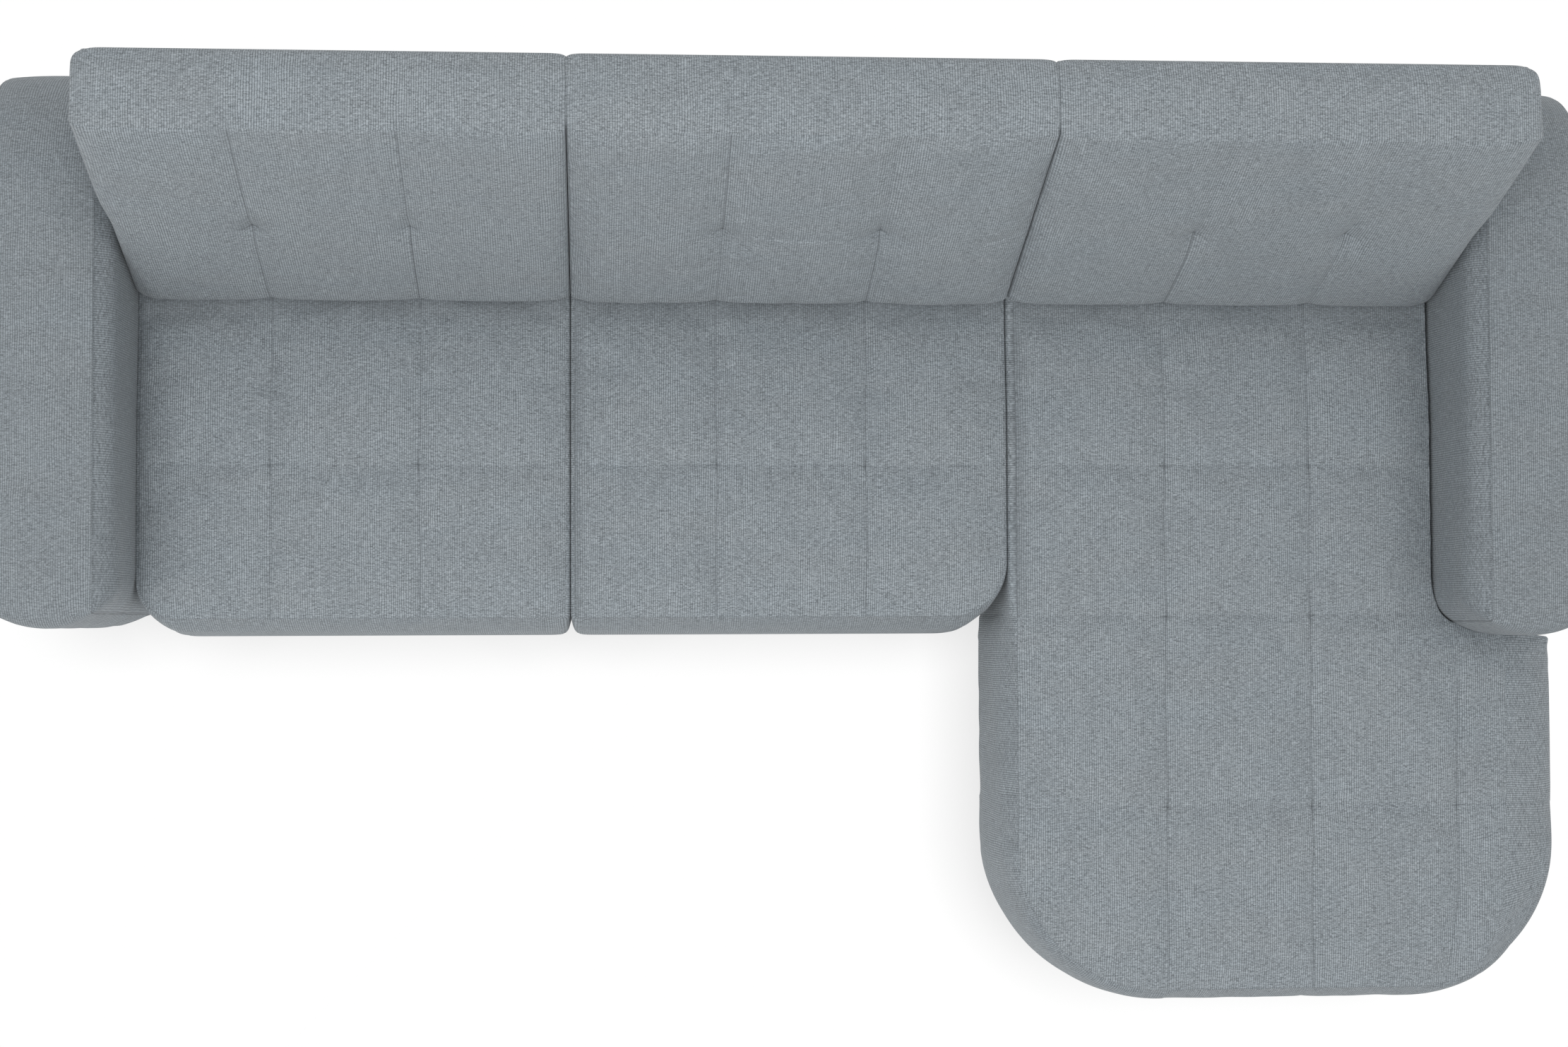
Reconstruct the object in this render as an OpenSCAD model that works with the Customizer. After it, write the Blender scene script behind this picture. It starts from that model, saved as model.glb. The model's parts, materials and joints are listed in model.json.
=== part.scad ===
// Lounge sofa: two seats and a chaise, three leaning backs and two rounded arms, in a ribbed cloth.
// Millimetres. X runs to the right along the seats, Y runs to the rear, Z is up.
// Every unit is a timber frame with springs or webbing, foam and a sewn cover that is drawn over it.

/* [Units] */
// Width of the left seat between the arm and the middle seat
left_seat_w = 673; // [560:1:800]
// Width of the middle seat
middle_seat_w = 693; // [560:1:800]
// Width of the chaise seat beside the arm
chaise_seat_w = 693; // [560:1:800]
// Depth of the two seats in front of the backs
seat_d = 517; // [460:1:600]
// Depth of the chaise in front of the backs
chaise_d = 1112; // [960:1:1250]
// Depth of the base behind the foot of the backs
base_rear = 229; // [215:1:240]

/* [Seats] */
// Height of the seats' front seam
seat_h = 440; // [400:1:480]
// Height of the seats where the backs stand on them
seat_rear_h = 428; // [395:1:450]
// Height that the padding rises above its seams
seat_crown = 12; // [6:1:16]
// Distance that the borders swell out past the top seam
border_bulge = 26; // [16:1:32]
// Height of the underside above the floor
underside_h = 106; // [80:1:130]
// Depth of a sewn channel
channel_depth = 7; // [3:0.5:9]
// Half width of a sewn channel
channel_half_w = 15; // [10:1:20]
// Distance of the cross channel from the backs
cross_channel = 254; // [200:1:300]
// Distance of the chaise's front cross channel from the backs
foot_channel = 796; // [740:1:830]
// Corner radius at the outer front corner of the left seat
left_corner_r = 60; // [30:1:90]
// Corner radius at the front corner of the middle seat beside the chaise
middle_corner_r = 85; // [40:1:100]
// Corner radius of the chaise's two front corners
chaise_corner_r = 230; // [160:1:260]

/* [Backs] */
// Height of the backs' front seam
back_h = 926; // [840:1:1000]
// Distance that the backs lean to the rear over their height
back_lean = 179; // [130:1:190]
// Depth of the backs' top panel
back_top_d = 118; // [105:1:130]
// Height of the tufts
tuft_h = 664; // [620:1:720]
// Depth of a sewn tuft
tuft_depth = 10; // [5:1:12]
// Height that the back padding swells out from its seams
back_crown = 10; // [5:1:14]
// Slope of the outside backs over their height
rear_slope = 44; // [20:1:48]
// Distance that the outer ends of the backs bulge over the arms
back_overhang = 8; // [0:1:10]

/* [Arms] */
// Height of the arms' top seams
arm_h = 620; // [560:1:700]
// Widest size of an arm across
arm_t = 209; // [190:1:240]
// Distance that an arm's side swells out past its seam
arm_bulge = 29; // [18:1:34]
// Depth of the left arm in front of the backs
left_arm_d = 505; // [450:1:540]
// Depth of the right arm in front of the backs
right_arm_d = 524; // [450:1:540]
// Depth of the arms behind the foot of the backs
arm_rear = 352; // [346:1:370]
// Radius of an arm's top front corner, seen from the side
arm_front_r = 70; // [40:1:100]
// Radius of an arm's top rear corner, seen from the side
arm_rear_r = 215; // [150:1:230]

/* [Frames] */
// Thickness of the frame boards
board_t = 22; // [18:1:26]
// Height of the seat rails
rail_h = 150; // [120:1:160]
// Thickness of the padded cover at its seams
cover_t = 13; // [11:1:14]
// Diameter of the spring wire
wire_d = 3.8; // [3:0.1:4.5]
// Distance between neighbouring bars of a spring
spring_pitch = 36; // [28:1:42]
// Width of a spring between the centres of its bends
spring_w = 34; // [24:1:40]
// Thickness of the insulating felt
felt_t = 5; // [3:1:8]
// Thickness of the back foam, measured level
back_foam_t = 50; // [40:1:56]
// Width of a webbing band
web_w = 70; // [50:5:75]

/* [Feet] */
// Top diameter of a foot
foot_top_d = 50; // [40:1:56]
// Bottom diameter of a foot
foot_low_d = 34; // [26:1:40]
// Thickness of the glide under a foot
glide_t = 4; // [3:1:6]
// Diameter of the foot bolts and frame bolts
bolt_d = 8; // [6:1:10]

/* [Hidden] */

LEFT = 0;
MIDDLE = 1;
CHAISE = 2;
UNITS = [LEFT, MIDDLE, CHAISE];

cloth = "#8c939b";
foam_colour = "#e9dfb4";
felt_colour = "#6b6560";
timber = "#c9a56b";
plywood = "#d6b98a";
steel = "#8d9196";
web_colour = "#3b3b3d";
dust_colour = "#2b2b2d";
foot_colour = "#3a2c22";

seat_clear = 0.3;   // between padded pieces and what carries them
unit_gap = 1;       // between neighbouring units
seam_in = 7;        // the top seams of neighbouring units stay back from the gap
sharp_r = 6;        // radius of a corner that meets its neighbour
shoulder = 24;      // the chaise's top falls this far towards its free right side
lip_t = 4;          // the cover's turned edge under the frame
lip_w = 17;         // how far that edge reaches under the rails
sheet_t = 1;        // dust cover cloth
panel_t = 6;        // outside back, cloth over board
panel_in = 2;       // it stays this far inside the unit's sides
roll_over = 2;      // the top of a back rolls this far over its outside back
clip_t = 1.2;       // spring clip steel
row_least = 3;      // closest rows of a sewn form
row_most = 80;      // widest rows of a sewn form
edge_row = 28;      // first row inside the edge of a seat's top
squeeze = 4;        // closest columns where a form narrows
cover_top_t = 16;   // padded cover over the foam at the rear of a seat
post_in = 55;       // backs' posts stay back from the unit's sides
post_gap = 1;       // between the base and the posts behind it
web_t = 2;          // webbing
washer_t = 2;
washer_d = 22;
nut_h = 7;
nut_r = 11;         // the nuts over the feet
block_h = 45;       // blocks in the frames' corners
bolt_head_h = 5;
arm_pad_t = 22;     // foam round the arm frame
arm_board_t = 12;   // side boards of the arm frame

front_seam = seat_d - border_bulge + 2;     // the seats' front seam lies a little inside the border
chaise_seam = chaise_d - border_bulge;
frame_z = underside_h + lip_t + seat_clear;
rail_top = frame_z + rail_h;
bolt_y = [-380, 120];                       // places of the bolts along the units' sides
bolt_z = frame_z + rail_h - 50;
bolt_clear = 0.8;
screw_z = [frame_z + block_h + 12, rail_top - 30];  // heights of the screws in the backs' posts
screw_l = 70;
wire_z = rail_top + clip_t + wire_d / 2;
spring_row_gap = 155; // about this far between springs
felt_z = wire_z + wire_d / 2 + clip_t + seat_clear;
foam_z = felt_z + felt_t + seat_clear;
foam_top = seat_rear_h - cover_top_t;
frame_in = cover_t + seat_clear;            // frames and foam lie this far inside the seams
back_foot = seat_rear_h + seat_clear;
total_left = left_seat_w + unit_gap / 2 + arm_t;
arm_right_x = middle_seat_w + chaise_seat_w + unit_gap / 2;
total_right = arm_right_x + arm_t;
centre_x = (total_right - total_left) / 2;
centre_y = (arm_rear - chaise_d) / 2;
notch_y = -(right_arm_d + 4);               // the chaise is wide in front of the right arm

// The chaise's edge round the foot of the right arm: how far behind its wide part, how far out
NOTCH = [[2.5, 118], [10, 60], [18, 37], [26, 22], [36, 10], [52, 3.5], [80, 0.8], [100, 0]];

// A smooth step from 0 to 1 as t goes from 0 to 1
function ramp(t) = let (c = min(1, max(0, t))) c * c * (3 - 2 * c);
function blend(a, b, t) = a + (b - a) * t;

// The numbers of v in rising order, each once
function sorted(v) = len(v) < 2 ? v : let (p = v[floor(len(v) / 2)])
    concat(sorted([for (a = v) if (a < p) a]), [p], sorted([for (a = v) if (a > p) a]));

// Those of v that lie at least row_least after the last one kept
function spaced(v, k = 0, kept = []) = k >= len(v) ? kept :
    spaced(v, k + 1, v[k] - kept[len(kept) - 1] >= row_least ? concat(kept, [v[k]]) : kept);

// Rising places from a to b through the marks, with wide steps filled in evenly
function places(a, b, marks, most) = let (
        inner = [for (m = sorted(marks)) if (m > a + row_least && m < b - row_least) m],
        all = concat(spaced(inner, 0, [a]), [b]))
    concat([a], [for (k = [1:len(all) - 1]) let (n = ceil((all[k] - all[k - 1]) / most))
        for (s = [1:n]) blend(all[k - 1], all[k], s / n)]);

// Sides, front and corners of a seat unit, all on its top seam
function unit_left(u) = [-left_seat_w, 0, middle_seat_w][u] + unit_gap / 2;
function unit_right(u) = [0, middle_seat_w, middle_seat_w + chaise_seat_w][u] - unit_gap / 2;
function seam_left(u) = unit_left(u) + (u == CHAISE ? 2 : 1) * seam_in - unit_gap / 2;
function seam_right(u) = unit_right(u) - seam_in + unit_gap / 2;
function seam_front(u) = -(u == CHAISE ? chaise_seam : front_seam);
function seam_far(u) = u == CHAISE ? total_right - border_bulge : seam_right(u);
function corner_left(u) = [left_corner_r, sharp_r, chaise_corner_r][u];
function corner_right(u) = [sharp_r, middle_corner_r, chaise_corner_r][u];

// Longitudinal channels at the thirds, and the chaise's third one in line with the arm's inner seam
function channel_x(u) = [
    [-0.69 * left_seat_w, -0.348 * left_seat_w],
    [0.331 * middle_seat_w, 0.673 * middle_seat_w],
    [middle_seat_w + 0.362 * chaise_seat_w, middle_seat_w + 0.7 * chaise_seat_w]][u];
function extra_channel() = arm_right_x + arm_bulge;
channel_clear = 72;     // that third channel ends this far in front of the arm
function shoulder_x() = extra_channel() + 60;
function channel_y(u) = u == CHAISE ? [-cross_channel, -front_seam, -foot_channel] : [-cross_channel];

// How far a corner of radius r draws the side in at distance t from its end
function corner_in(t, r) = t >= r ? 0 : r - sqrt(max(0, r * r - pow(r - t, 2)));
function side_left(u, y) = seam_left(u) + corner_in(y - seam_front(u), corner_left(u));
function side_right(u, y) = let (front = corner_in(y - seam_front(u), corner_right(u)))
    u == CHAISE && y < notch_y
        ? seam_far(u) - max(front, corner_in(notch_y - y, sharp_r))
        : seam_right(u) + (u == CHAISE ? lookup(y - notch_y, NOTCH) : -front);

// Height of a seat's seam, and of its padding between the seams
function seam_z(y) = blend(seat_rear_h, seat_h, ramp(-(y + 20) / 180));
function groove(d) = max(0, 1 - abs(d) / channel_half_w);
function notch_distance(u, x, y) = u != CHAISE ? 1e3 :
    norm([max(0, seam_right(u) - x), max(0, notch_y - y)]);
function edge_distance(u, x, y) = min(x - side_left(u, y), side_right(u, y) - x, y - seam_front(u),
    max(0, -20 - y), notch_distance(u, x, y));
function seat_z(u, x, y) = let (
        along = max([for (c = channel_x(u)) groove(x - c)]),
        extra = u == CHAISE ? groove(x - extra_channel()) * ramp((notch_y - channel_clear - y) / 30) : 0,
        across = max([for (c = channel_y(u)) groove(y - c)]),
        fade = ramp((edge_distance(u, x, y) + 6) / 30),
        swell = seat_crown * ramp((edge_distance(u, x, y) + 20) / 110) - seat_crown * ramp(20 / 110),
        fall = u == CHAISE ? pow(max(0, x - shoulder_x()) / (seam_far(u) - shoulder_x()), 2) : 0)
    seam_z(y) + max(0, swell) - shoulder * fall - channel_depth * fade * (max(along, across, extra)
        + 0.3 * max(along, extra) * across);

// The rows and columns of a seat's top, and the point at each crossing
function seat_rows(u) = places(seam_front(u), base_rear - seam_in, concat(
    [for (a = [20:17.5:90]) seam_front(u) + max(corner_left(u), corner_right(u)) * (1 - cos(a))],
    [for (c = channel_y(u), s = [-1:1]) c + s * channel_half_w],
    u == CHAISE ? concat([notch_y - sharp_r, notch_y - 0.5], [for (p = NOTCH) notch_y + p[0]]) : [],
    [-20, 4]), row_most);
function seat_columns(u) = places(seam_left(u), seam_far(u), concat(
    [for (c = channel_x(u), s = [-1:1]) c + s * channel_half_w],
    u == CHAISE ? [for (x = [-1:1]) extra_channel() + x * channel_half_w] : [],
    u == CHAISE ? [for (t = [0.25, 0.6]) blend(shoulder_x(), seam_far(u), t)] : [],
    [seam_left(u) + edge_row, seam_far(u) - edge_row, seam_right(u) - edge_row]), row_most);
function seat_grid(u) = let (xs = seat_columns(u), n = len(xs) - 1)
    [for (y = seat_rows(u)) [for (i = [0:n]) let (
        x = max(side_left(u, y) + squeeze * i, min(side_right(u, y) - squeeze * (n - i), xs[i])))
        [x, y, seat_z(u, x, y)]]];

// A closed form: a grid of points on top, loops of the same length as its edge below, and a flat foot
function grid_edge(nx, ny) = concat([for (i = [0:nx - 2]) i], [for (j = [0:ny - 2]) j * nx + nx - 1],
    [for (i = [nx - 1:-1:1]) (ny - 1) * nx + i], [for (j = [ny - 1:-1:1]) j * nx]);
module grid_form(grid, loops) {
    ny = len(grid);
    nx = len(grid[0]);
    edge = grid_edge(nx, ny);
    n = len(edge);
    base = nx * ny;
    points = concat([for (row = grid) each row], [for (loop = loops) each loop]);
    top = [for (j = [0:ny - 2], i = [0:nx - 2]) let (a = j * nx + i, c = a + nx + 1)
        each [[a, a + nx, c], [a, c, a + 1]]];
    wall = [for (r = [0:len(loops) - 1], k = [0:n - 1]) let (
            q = (k + 1) % n,
            u0 = r == 0 ? edge[k] : base + (r - 1) * n + k,
            u1 = r == 0 ? edge[q] : base + (r - 1) * n + q,
            l0 = base + r * n + k,
            l1 = base + r * n + q)
        each [[u0, u1, l1], [u0, l1, l0]]];
    foot = [[for (k = [0:n - 1]) base + (len(loops) - 1) * n + k]];
    polyhedron(points, concat(top, wall, foot), convexity = 8);
}

// Border of a seat: how far down, how far out where it stands free, and where it meets a neighbour
BORDER = [[0.03, 0.32, 4], [0.12, 0.68, 6.4], [0.33, 0.92, 6.4], [0.57, 1, 6.4], [0.86, 0.72, 6.4],
    [1, 0.1, 2]];

// The share of the border's swell that the side has at a point, beside the neighbours and in front
function free_side(u, p) = u != CHAISE ? 0 : p[0] > arm_right_x ? ramp((notch_y - p[1]) / 40)
    : p[0] < seam_left(u) + 240 ? ramp(-(p[1] + seat_d - 70) / 90) : 0;
function seat_loops(u, grid) = let (
        flat = [for (row = grid) each row],
        edge = [for (k = grid_edge(len(grid[0]), len(grid))) flat[k]],
        n = len(edge))
    [for (b = BORDER) [for (k = [0:n - 1]) let (
            p = edge[k],
            along = edge[(k + 1) % n] - edge[(k + n - 1) % n],
            size = norm([along[0], along[1]]),
            out = [along[1], -along[0]] / size,
            side = blend(min(b[2], seam_in - unit_gap / 2), border_bulge * b[1], free_side(u, p)),
            front = out[1] < 0 ? border_bulge * b[1] : 0)
        [p[0] + out[0] * side, p[1] + out[1] * front, blend(p[2], underside_h, b[0])]]];

// Plan of a seat unit, drawn in from its seams; its front corners are true arcs
module unit_plan(u, inset) {
    x0 = seam_left(u) + inset;
    x1 = seam_far(u) - inset;
    y0 = seam_front(u) + inset;
    y1 = u == CHAISE ? notch_y - inset : base_rear - seam_in - inset;
    rl = max(1, corner_left(u) - inset);
    rr = max(1, corner_right(u) - inset);
    translate([x0 + rl, y0]) square([x1 - x0 - rl - rr, y1 - y0]);
    translate([x0, y0 + rl]) square([rl, y1 - y0 - rl]);
    translate([x1 - rr, y0 + rr]) square([rr, y1 - y0 - rr]);
    translate([x0 + rl, y0 + rl]) circle(rl, $fn = 96);
    translate([x1 - rr, y0 + rr]) circle(rr, $fn = 96);
    if (u == CHAISE)
        translate([x0, y0 + rl]) square([seam_right(u) - inset - x0, base_rear - seam_in - inset - y0 - rl]);
}

// A slab with the unit's plan
module unit_slab(u, inset, z, height) {
    translate([0, 0, z]) linear_extrude(height) unit_plan(u, inset);
}

// Everything is drawn from the left and middle units' joint, and stands centred on the origin
module place() {
    translate([-centre_x, -centre_y, 0]) children();
}

module seat_cover(u) {
    grid = seat_grid(u);
    color(cloth) place() difference() {
        grid_form(grid, seat_loops(u, grid));
        unit_slab(u, cover_t, frame_z - seat_clear, foam_top + seat_clear - frame_z + seat_clear);
        unit_slab(u, cover_t + lip_w, underside_h - 1, lip_t + 2);
        rear_flap(u);
        side_bores(u, unit_left(u) - 1, unit_right(u) + 1);
    }
}

// Bores for the bolts that join a unit to its neighbours, from x0 to x1
module side_bores(u, x0, x1) {
    for (y = bolt_y)
        translate([x0, y, bolt_z]) rotate([0, 90, 0])
            cylinder(d = bolt_d + bolt_clear, h = x1 - x0, $fn = 48);
}

// The cover's rear edge ends on top of the rear rail, so the backs' posts meet the bare rail
module rear_flap(u) {
    translate([seam_left(u) + cover_t, base_rear - seam_in - cover_t - 1, underside_h - 1])
        cube([seam_right(u) - seam_left(u) - 2 * cover_t, cover_t + seam_in + 2,
            rail_top - underside_h - 9]);
}

module seat_foam(u) {
    color(foam_colour) place() unit_slab(u, frame_in, foam_z, foam_top - foam_z);
}

module seat_felt(u) {
    color(felt_colour) place() unit_slab(u, frame_in, felt_z, felt_t);
}

// The radius of the frame's front corners; small corners are butted
function bend_left(u) = corner_left(u) - frame_in;
function bend_right(u) = corner_right(u) - frame_in;
function rail_x0(u) = seam_left(u) + frame_in;
function rail_x1(u) = seam_right(u) - frame_in;
function rail_far(u) = seam_far(u) - frame_in;
function rail_y0(u) = seam_front(u) + frame_in;
rail_y1 = base_rear - seam_in - frame_in;
function bent(r) = r > board_t + 2;

module rail(x, y, w, d) {
    translate([x, y, frame_z]) cube([w, d, rail_h]);
}

module side_rails(u) {
    start_left = bent(bend_left(u)) ? bend_left(u) : board_t;
    start_right = bent(bend_right(u)) ? bend_right(u) : board_t;
    color(timber) place() {
        difference() {
            union() {
                rail(rail_x0(u), rail_y0(u) + start_left, board_t,
                    rail_y1 - board_t - rail_y0(u) - start_left);
                if (u == CHAISE) {
                    rail(rail_x1(u) - board_t, rail_y0(u) + board_t, board_t,
                        rail_y1 - rail_y0(u) - 2 * board_t);
                } else {
                    rail(rail_x1(u) - board_t, rail_y0(u) + start_right, board_t,
                        rail_y1 - board_t - rail_y0(u) - start_right);
                }
            }
            side_bores(u, unit_left(u), unit_right(u));
        }
        if (u == CHAISE)
            rail(rail_far(u) - board_t, rail_y0(u) + start_right, board_t,
                notch_y - frame_in - board_t - rail_y0(u) - start_right);
    }
}

module cross_rails(u) {
    left = bent(bend_left(u)) ? bend_left(u) : 0;
    right = bent(bend_right(u)) ? bend_right(u) : 0;
    color(timber) place() {
        rail(rail_x0(u) + left, rail_y0(u), rail_far(u) - rail_x0(u) - left - right, board_t);
        difference() {
            rail(rail_x0(u), rail_y1 - board_t, rail_x1(u) - rail_x0(u), board_t);
            at_screws(u) cylinder(d = bolt_d + bolt_clear, h = board_t + 2, center = true, $fn = 48);
        }
        if (u == CHAISE)
            rail(rail_x1(u), notch_y - frame_in - board_t, rail_far(u) - rail_x1(u), board_t);
    }
}

// Places of a unit's feet, from each corner inwards along the diagonal
function foot_in(r) = 0.3 * r + 72;
function feet_of(u) = let (
        l = foot_in(corner_left(u)),
        r = foot_in(corner_right(u)),
        s = foot_in(sharp_r))
    [[seam_left(u) + l, seam_front(u) + l], [seam_far(u) - r, seam_front(u) + r],
     [seam_left(u) + s, base_rear - seam_in - s], [seam_right(u) - s, base_rear - seam_in - s]];
function block_half(k, u) = k > 1 ? 36 : 36 + 0.12 * (k == 0 ? corner_left(u) : corner_right(u));

// Bent corner boards, and blocks in the corners that take the feet
module corner_blocks(u) {
    feet = feet_of(u);
    reach = 200;
    color(plywood) place() {
        if (bent(bend_left(u)))
            translate([rail_x0(u) + bend_left(u), rail_y0(u) + bend_left(u), frame_z])
                rotate(180) bent_board(bend_left(u));
        if (bent(bend_right(u)))
            translate([rail_far(u) - bend_right(u), rail_y0(u) + bend_right(u), frame_z])
                rotate(270) bent_board(bend_right(u));
        for (k = [0:3]) difference() {
            intersection() {
                unit_slab(u, frame_in + board_t + seat_clear, frame_z, block_h);
                translate([k % 2 == 0 ? feet[k][0] - reach : feet[k][0] - block_half(k, u),
                    k < 2 ? feet[k][1] - reach : feet[k][1] - block_half(k, u), frame_z])
                    cube([reach + block_half(k, u), reach + block_half(k, u), block_h]);
            }
            translate([feet[k][0], feet[k][1], frame_z - 1])
                cylinder(d = bolt_d + 1, h = block_h + 2, $fn = 48);
        }
    }
}

module bent_board(r) {
    rotate_extrude(angle = 90, $fn = 96) translate([r - board_t, 0]) square([board_t, rail_h]);
}

// Zigzag spring of straight bars and round bends, lying along X from its first bar
module zigzag(bars) {
    for (k = [0:bars - 1]) {
        translate([k * spring_pitch, -spring_w / 2, 0])
            rotate([-90, 0, 0]) cylinder(d = wire_d, h = spring_w, $fn = 24);
        if (k < bars - 1)
            translate([(k + 0.5) * spring_pitch, (k % 2 == 0 ? 1 : -1) * spring_w / 2, 0])
                rotate(k % 2 == 0 ? 0 : 180)
                    rotate_extrude(angle = 180, $fn = 48)
                        translate([spring_pitch / 2, 0]) circle(d = wire_d, $fn = 24);
    }
}

// A spring's first and last bars lie over the middle of the rails that it spans
function spring_span(u) = u == CHAISE ? rail_x1(u) - rail_x0(u) - board_t : rail_y1 - rail_y0(u) - board_t;
function spring_bars(u) = 1 + floor((spring_span(u) - 4) / spring_pitch);
function spring_start(u) = (spring_span(u) - (spring_bars(u) - 1) * spring_pitch) / 2;
function spring_rows(u) = let (
        a = u == CHAISE ? rail_y0(u) + chaise_corner_r : rail_x0(u) + 95,
        b = u == CHAISE ? rail_y1 - 95 : rail_x1(u) - 95,
        n = round((b - a) / spring_row_gap))
    [for (k = [0:n]) blend(a, b, k / n)];
module along_springs(u) {
    for (row = spring_rows(u))
        if (u == CHAISE) {
            translate([rail_x0(u) + board_t / 2 + spring_start(u), row, wire_z]) children();
        } else {
            translate([row, rail_y0(u) + board_t / 2 + spring_start(u), wire_z]) rotate(90) children();
        }
}

module seat_springs(u) {
    color(steel) place() along_springs(u) zigzag(spring_bars(u));
}

// Folded steel clip that holds an end bar down on its rail
module spring_clip() {
    gap = wire_d / 2 + 0.3;
    width = spring_w - 10;
    translate([0, width / 2, 0]) rotate([90, 0, 0]) linear_extrude(width) difference() {
        union() {
            translate([-9, -wire_d / 2 - clip_t]) square([9, 2 * gap + 2 * clip_t - 0.6]);
            circle(gap + clip_t, $fn = 48);
        }
        circle(gap, $fn = 48);
        translate([-10, -wire_d / 2]) square([10, 2 * gap - 0.6]);
        translate([-10, -gap - clip_t - 2]) square([20, 2 + gap - wire_d / 2]);
    }
}

module spring_clips(u) {
    last = (spring_bars(u) - 1) * spring_pitch;
    color(steel) place() along_springs(u) {
        mirror([1, 0, 0]) spring_clip();
        translate([last, 0, 0]) spring_clip();
    }
}

module dust_cover(u) {
    color(dust_colour) place() difference() {
        union() {
            unit_slab(u, frame_in, underside_h - seat_clear - sheet_t, sheet_t);
            translate([rail_x0(u), rail_y1 - board_t, underside_h - seat_clear - sheet_t])
                cube([rail_x1(u) - rail_x0(u), back_rear(underside_h) - rail_y1 + board_t, sheet_t]);
            translate([unit_left(u) + panel_in, base_rear, underside_h - seat_clear - sheet_t])
                cube([unit_right(u) - unit_left(u) - 2 * panel_in, back_rear(underside_h) - base_rear,
                    sheet_t]);
        }
        for (p = feet_of(u))
            translate([p[0], p[1], frame_z - 10]) cylinder(d = foot_top_d + 4, h = 10, $fn = 64);
    }
}

// A turned and tapered foot, its glide, its bolt and the nut in the corner block
module each_foot() {
    for (u = UNITS, p = feet_of(u)) translate([p[0], p[1], 0]) children();
}

module feet() {
    rim = 6;
    color(foot_colour) place() each_foot() difference() {
        rotate_extrude($fn = 64) polygon([[0, glide_t], [foot_low_d / 2, glide_t],
            [foot_top_d / 2, frame_z - rim], [foot_top_d / 2, frame_z], [0, frame_z]]);
        translate([0, 0, frame_z - 40]) cylinder(d = bolt_d, h = 41, $fn = 48);
    }
}

module foot_glides() {
    color("#151515") place() each_foot() cylinder(d = foot_low_d - 4, h = glide_t, $fn = 64);
}

module foot_bolts() {
    color(steel) place() each_foot() translate([0, 0, frame_z - 40])
        cylinder(d = bolt_d, h = 40 + block_h + nut_h, $fn = 48);
}

module foot_nuts() {
    color(steel) place() each_foot() translate([0, 0, frame_z + block_h]) difference() {
        cylinder(r = nut_r, h = nut_h, $fn = 6);
        translate([0, 0, -1]) cylinder(d = bolt_d, h = nut_h + 2, $fn = 48);
    }
}

// Front and rear faces of the backs at a height
function back_front(z) = back_lean * (z - back_foot) / (back_h - back_foot);
function back_rear(z) = back_lean + back_top_d + rear_slope * (back_h - z) / (back_h - underside_h)
    - panel_t - roll_over;
rear_top_r = 26;    // the top rolls over to the outside back
top_fall = 8;       // and falls this far towards it
roll_y = back_lean + back_top_d - rear_top_r;
roll_z = back_h - top_fall - rear_top_r;

// The profile of a back as [y, z], up the front, over the top and down the rear
tuft_t = (tuft_h - back_foot) / (back_h - back_foot);
FRONT_STEPS = [0.012, 0.05, 0.14, 0.25, 0.36, tuft_t - 0.05, tuft_t, tuft_t + 0.05, 0.64, 0.76, 0.88,
    0.96, 1];
function face_point(t) = let (
        z = blend(back_foot, back_h, t),
        out = back_crown * pow(sin(180 * pow(t, 0.8)), 0.7) + (t < 0.04 ? 0 : 2))
    [back_front(z) - (t > 0.98 ? 0 : out * 0.94), z + (t > 0.98 ? 0 : out * 0.33)];
BACK_PROFILE = concat(
    [[14, back_foot]],
    [for (t = FRONT_STEPS) face_point(t)],
    [[back_lean + back_top_d * 0.3, back_h + 4], [back_lean + back_top_d * 0.6, back_h + 1]],
    [for (a = [80:-20:0]) [roll_y + rear_top_r * cos(a), roll_z + rear_top_r * sin(a)]],
    [[back_rear(roll_z - 3), roll_z - 3], [back_rear(back_foot), back_foot]]);

// The middle of a back, towards which its profile is drawn in at the ends and at seams
function back_core(p) = let (z = min(back_h - 55, max(back_foot + 60, p[1])))
    [(back_front(z) + back_rear(z)) / 2, z];
function drawn_in(p, core, by) = let (way = core - p) p + way * min(0.9, by / max(1, norm(way)));

// Tufts and the faint vertical seams through them
function back_dent(u, x, p) = p[1] < back_foot + 5 || p[1] > back_h - 5 || p[0] > back_lean + 10 ? 0 : let (
        near = max([for (c = channel_x(u)) max(0, 1 - abs(x - c) / channel_half_w)]),
        level = max(0, 1 - abs(p[1] - tuft_h) / 26))
    near * (channel_depth * 0.45 + tuft_depth * level);

// The ends of a back, which round over freely above an arm and less beside a neighbour
FREE_END = [[0, 17], [5, 6], [22, 0]];
CLOSED_END = [[0, 6], [3, 2], [14, 0]];
function back_stations(u) = let (
        left = u == LEFT ? FREE_END : CLOSED_END,
        right = u == CHAISE ? FREE_END : CLOSED_END,
        a = unit_left(u) + left[2][0],
        b = unit_right(u) - right[2][0],
        marks = [for (c = channel_x(u), s = [-1:1]) c + s * channel_half_w])
    concat([for (e = left) [unit_left(u) + e[0], e[1]]],
        [for (x = places(a, b, marks, row_most)) if (x > a && x < b) [x, 0]],
        [for (k = [2:-1:0]) [unit_right(u) - right[k][0], right[k][1]]]);
function overhang(u, x, z) = u == MIDDLE ? 0 : let (
        end = u == LEFT ? unit_left(u) : unit_right(u),
        near = max(0, 1 - abs(x - end) / FREE_END[2][0]))
    (u == LEFT ? -1 : 1) * back_overhang * near * ramp((z - arm_h - 20) / 90);

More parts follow.
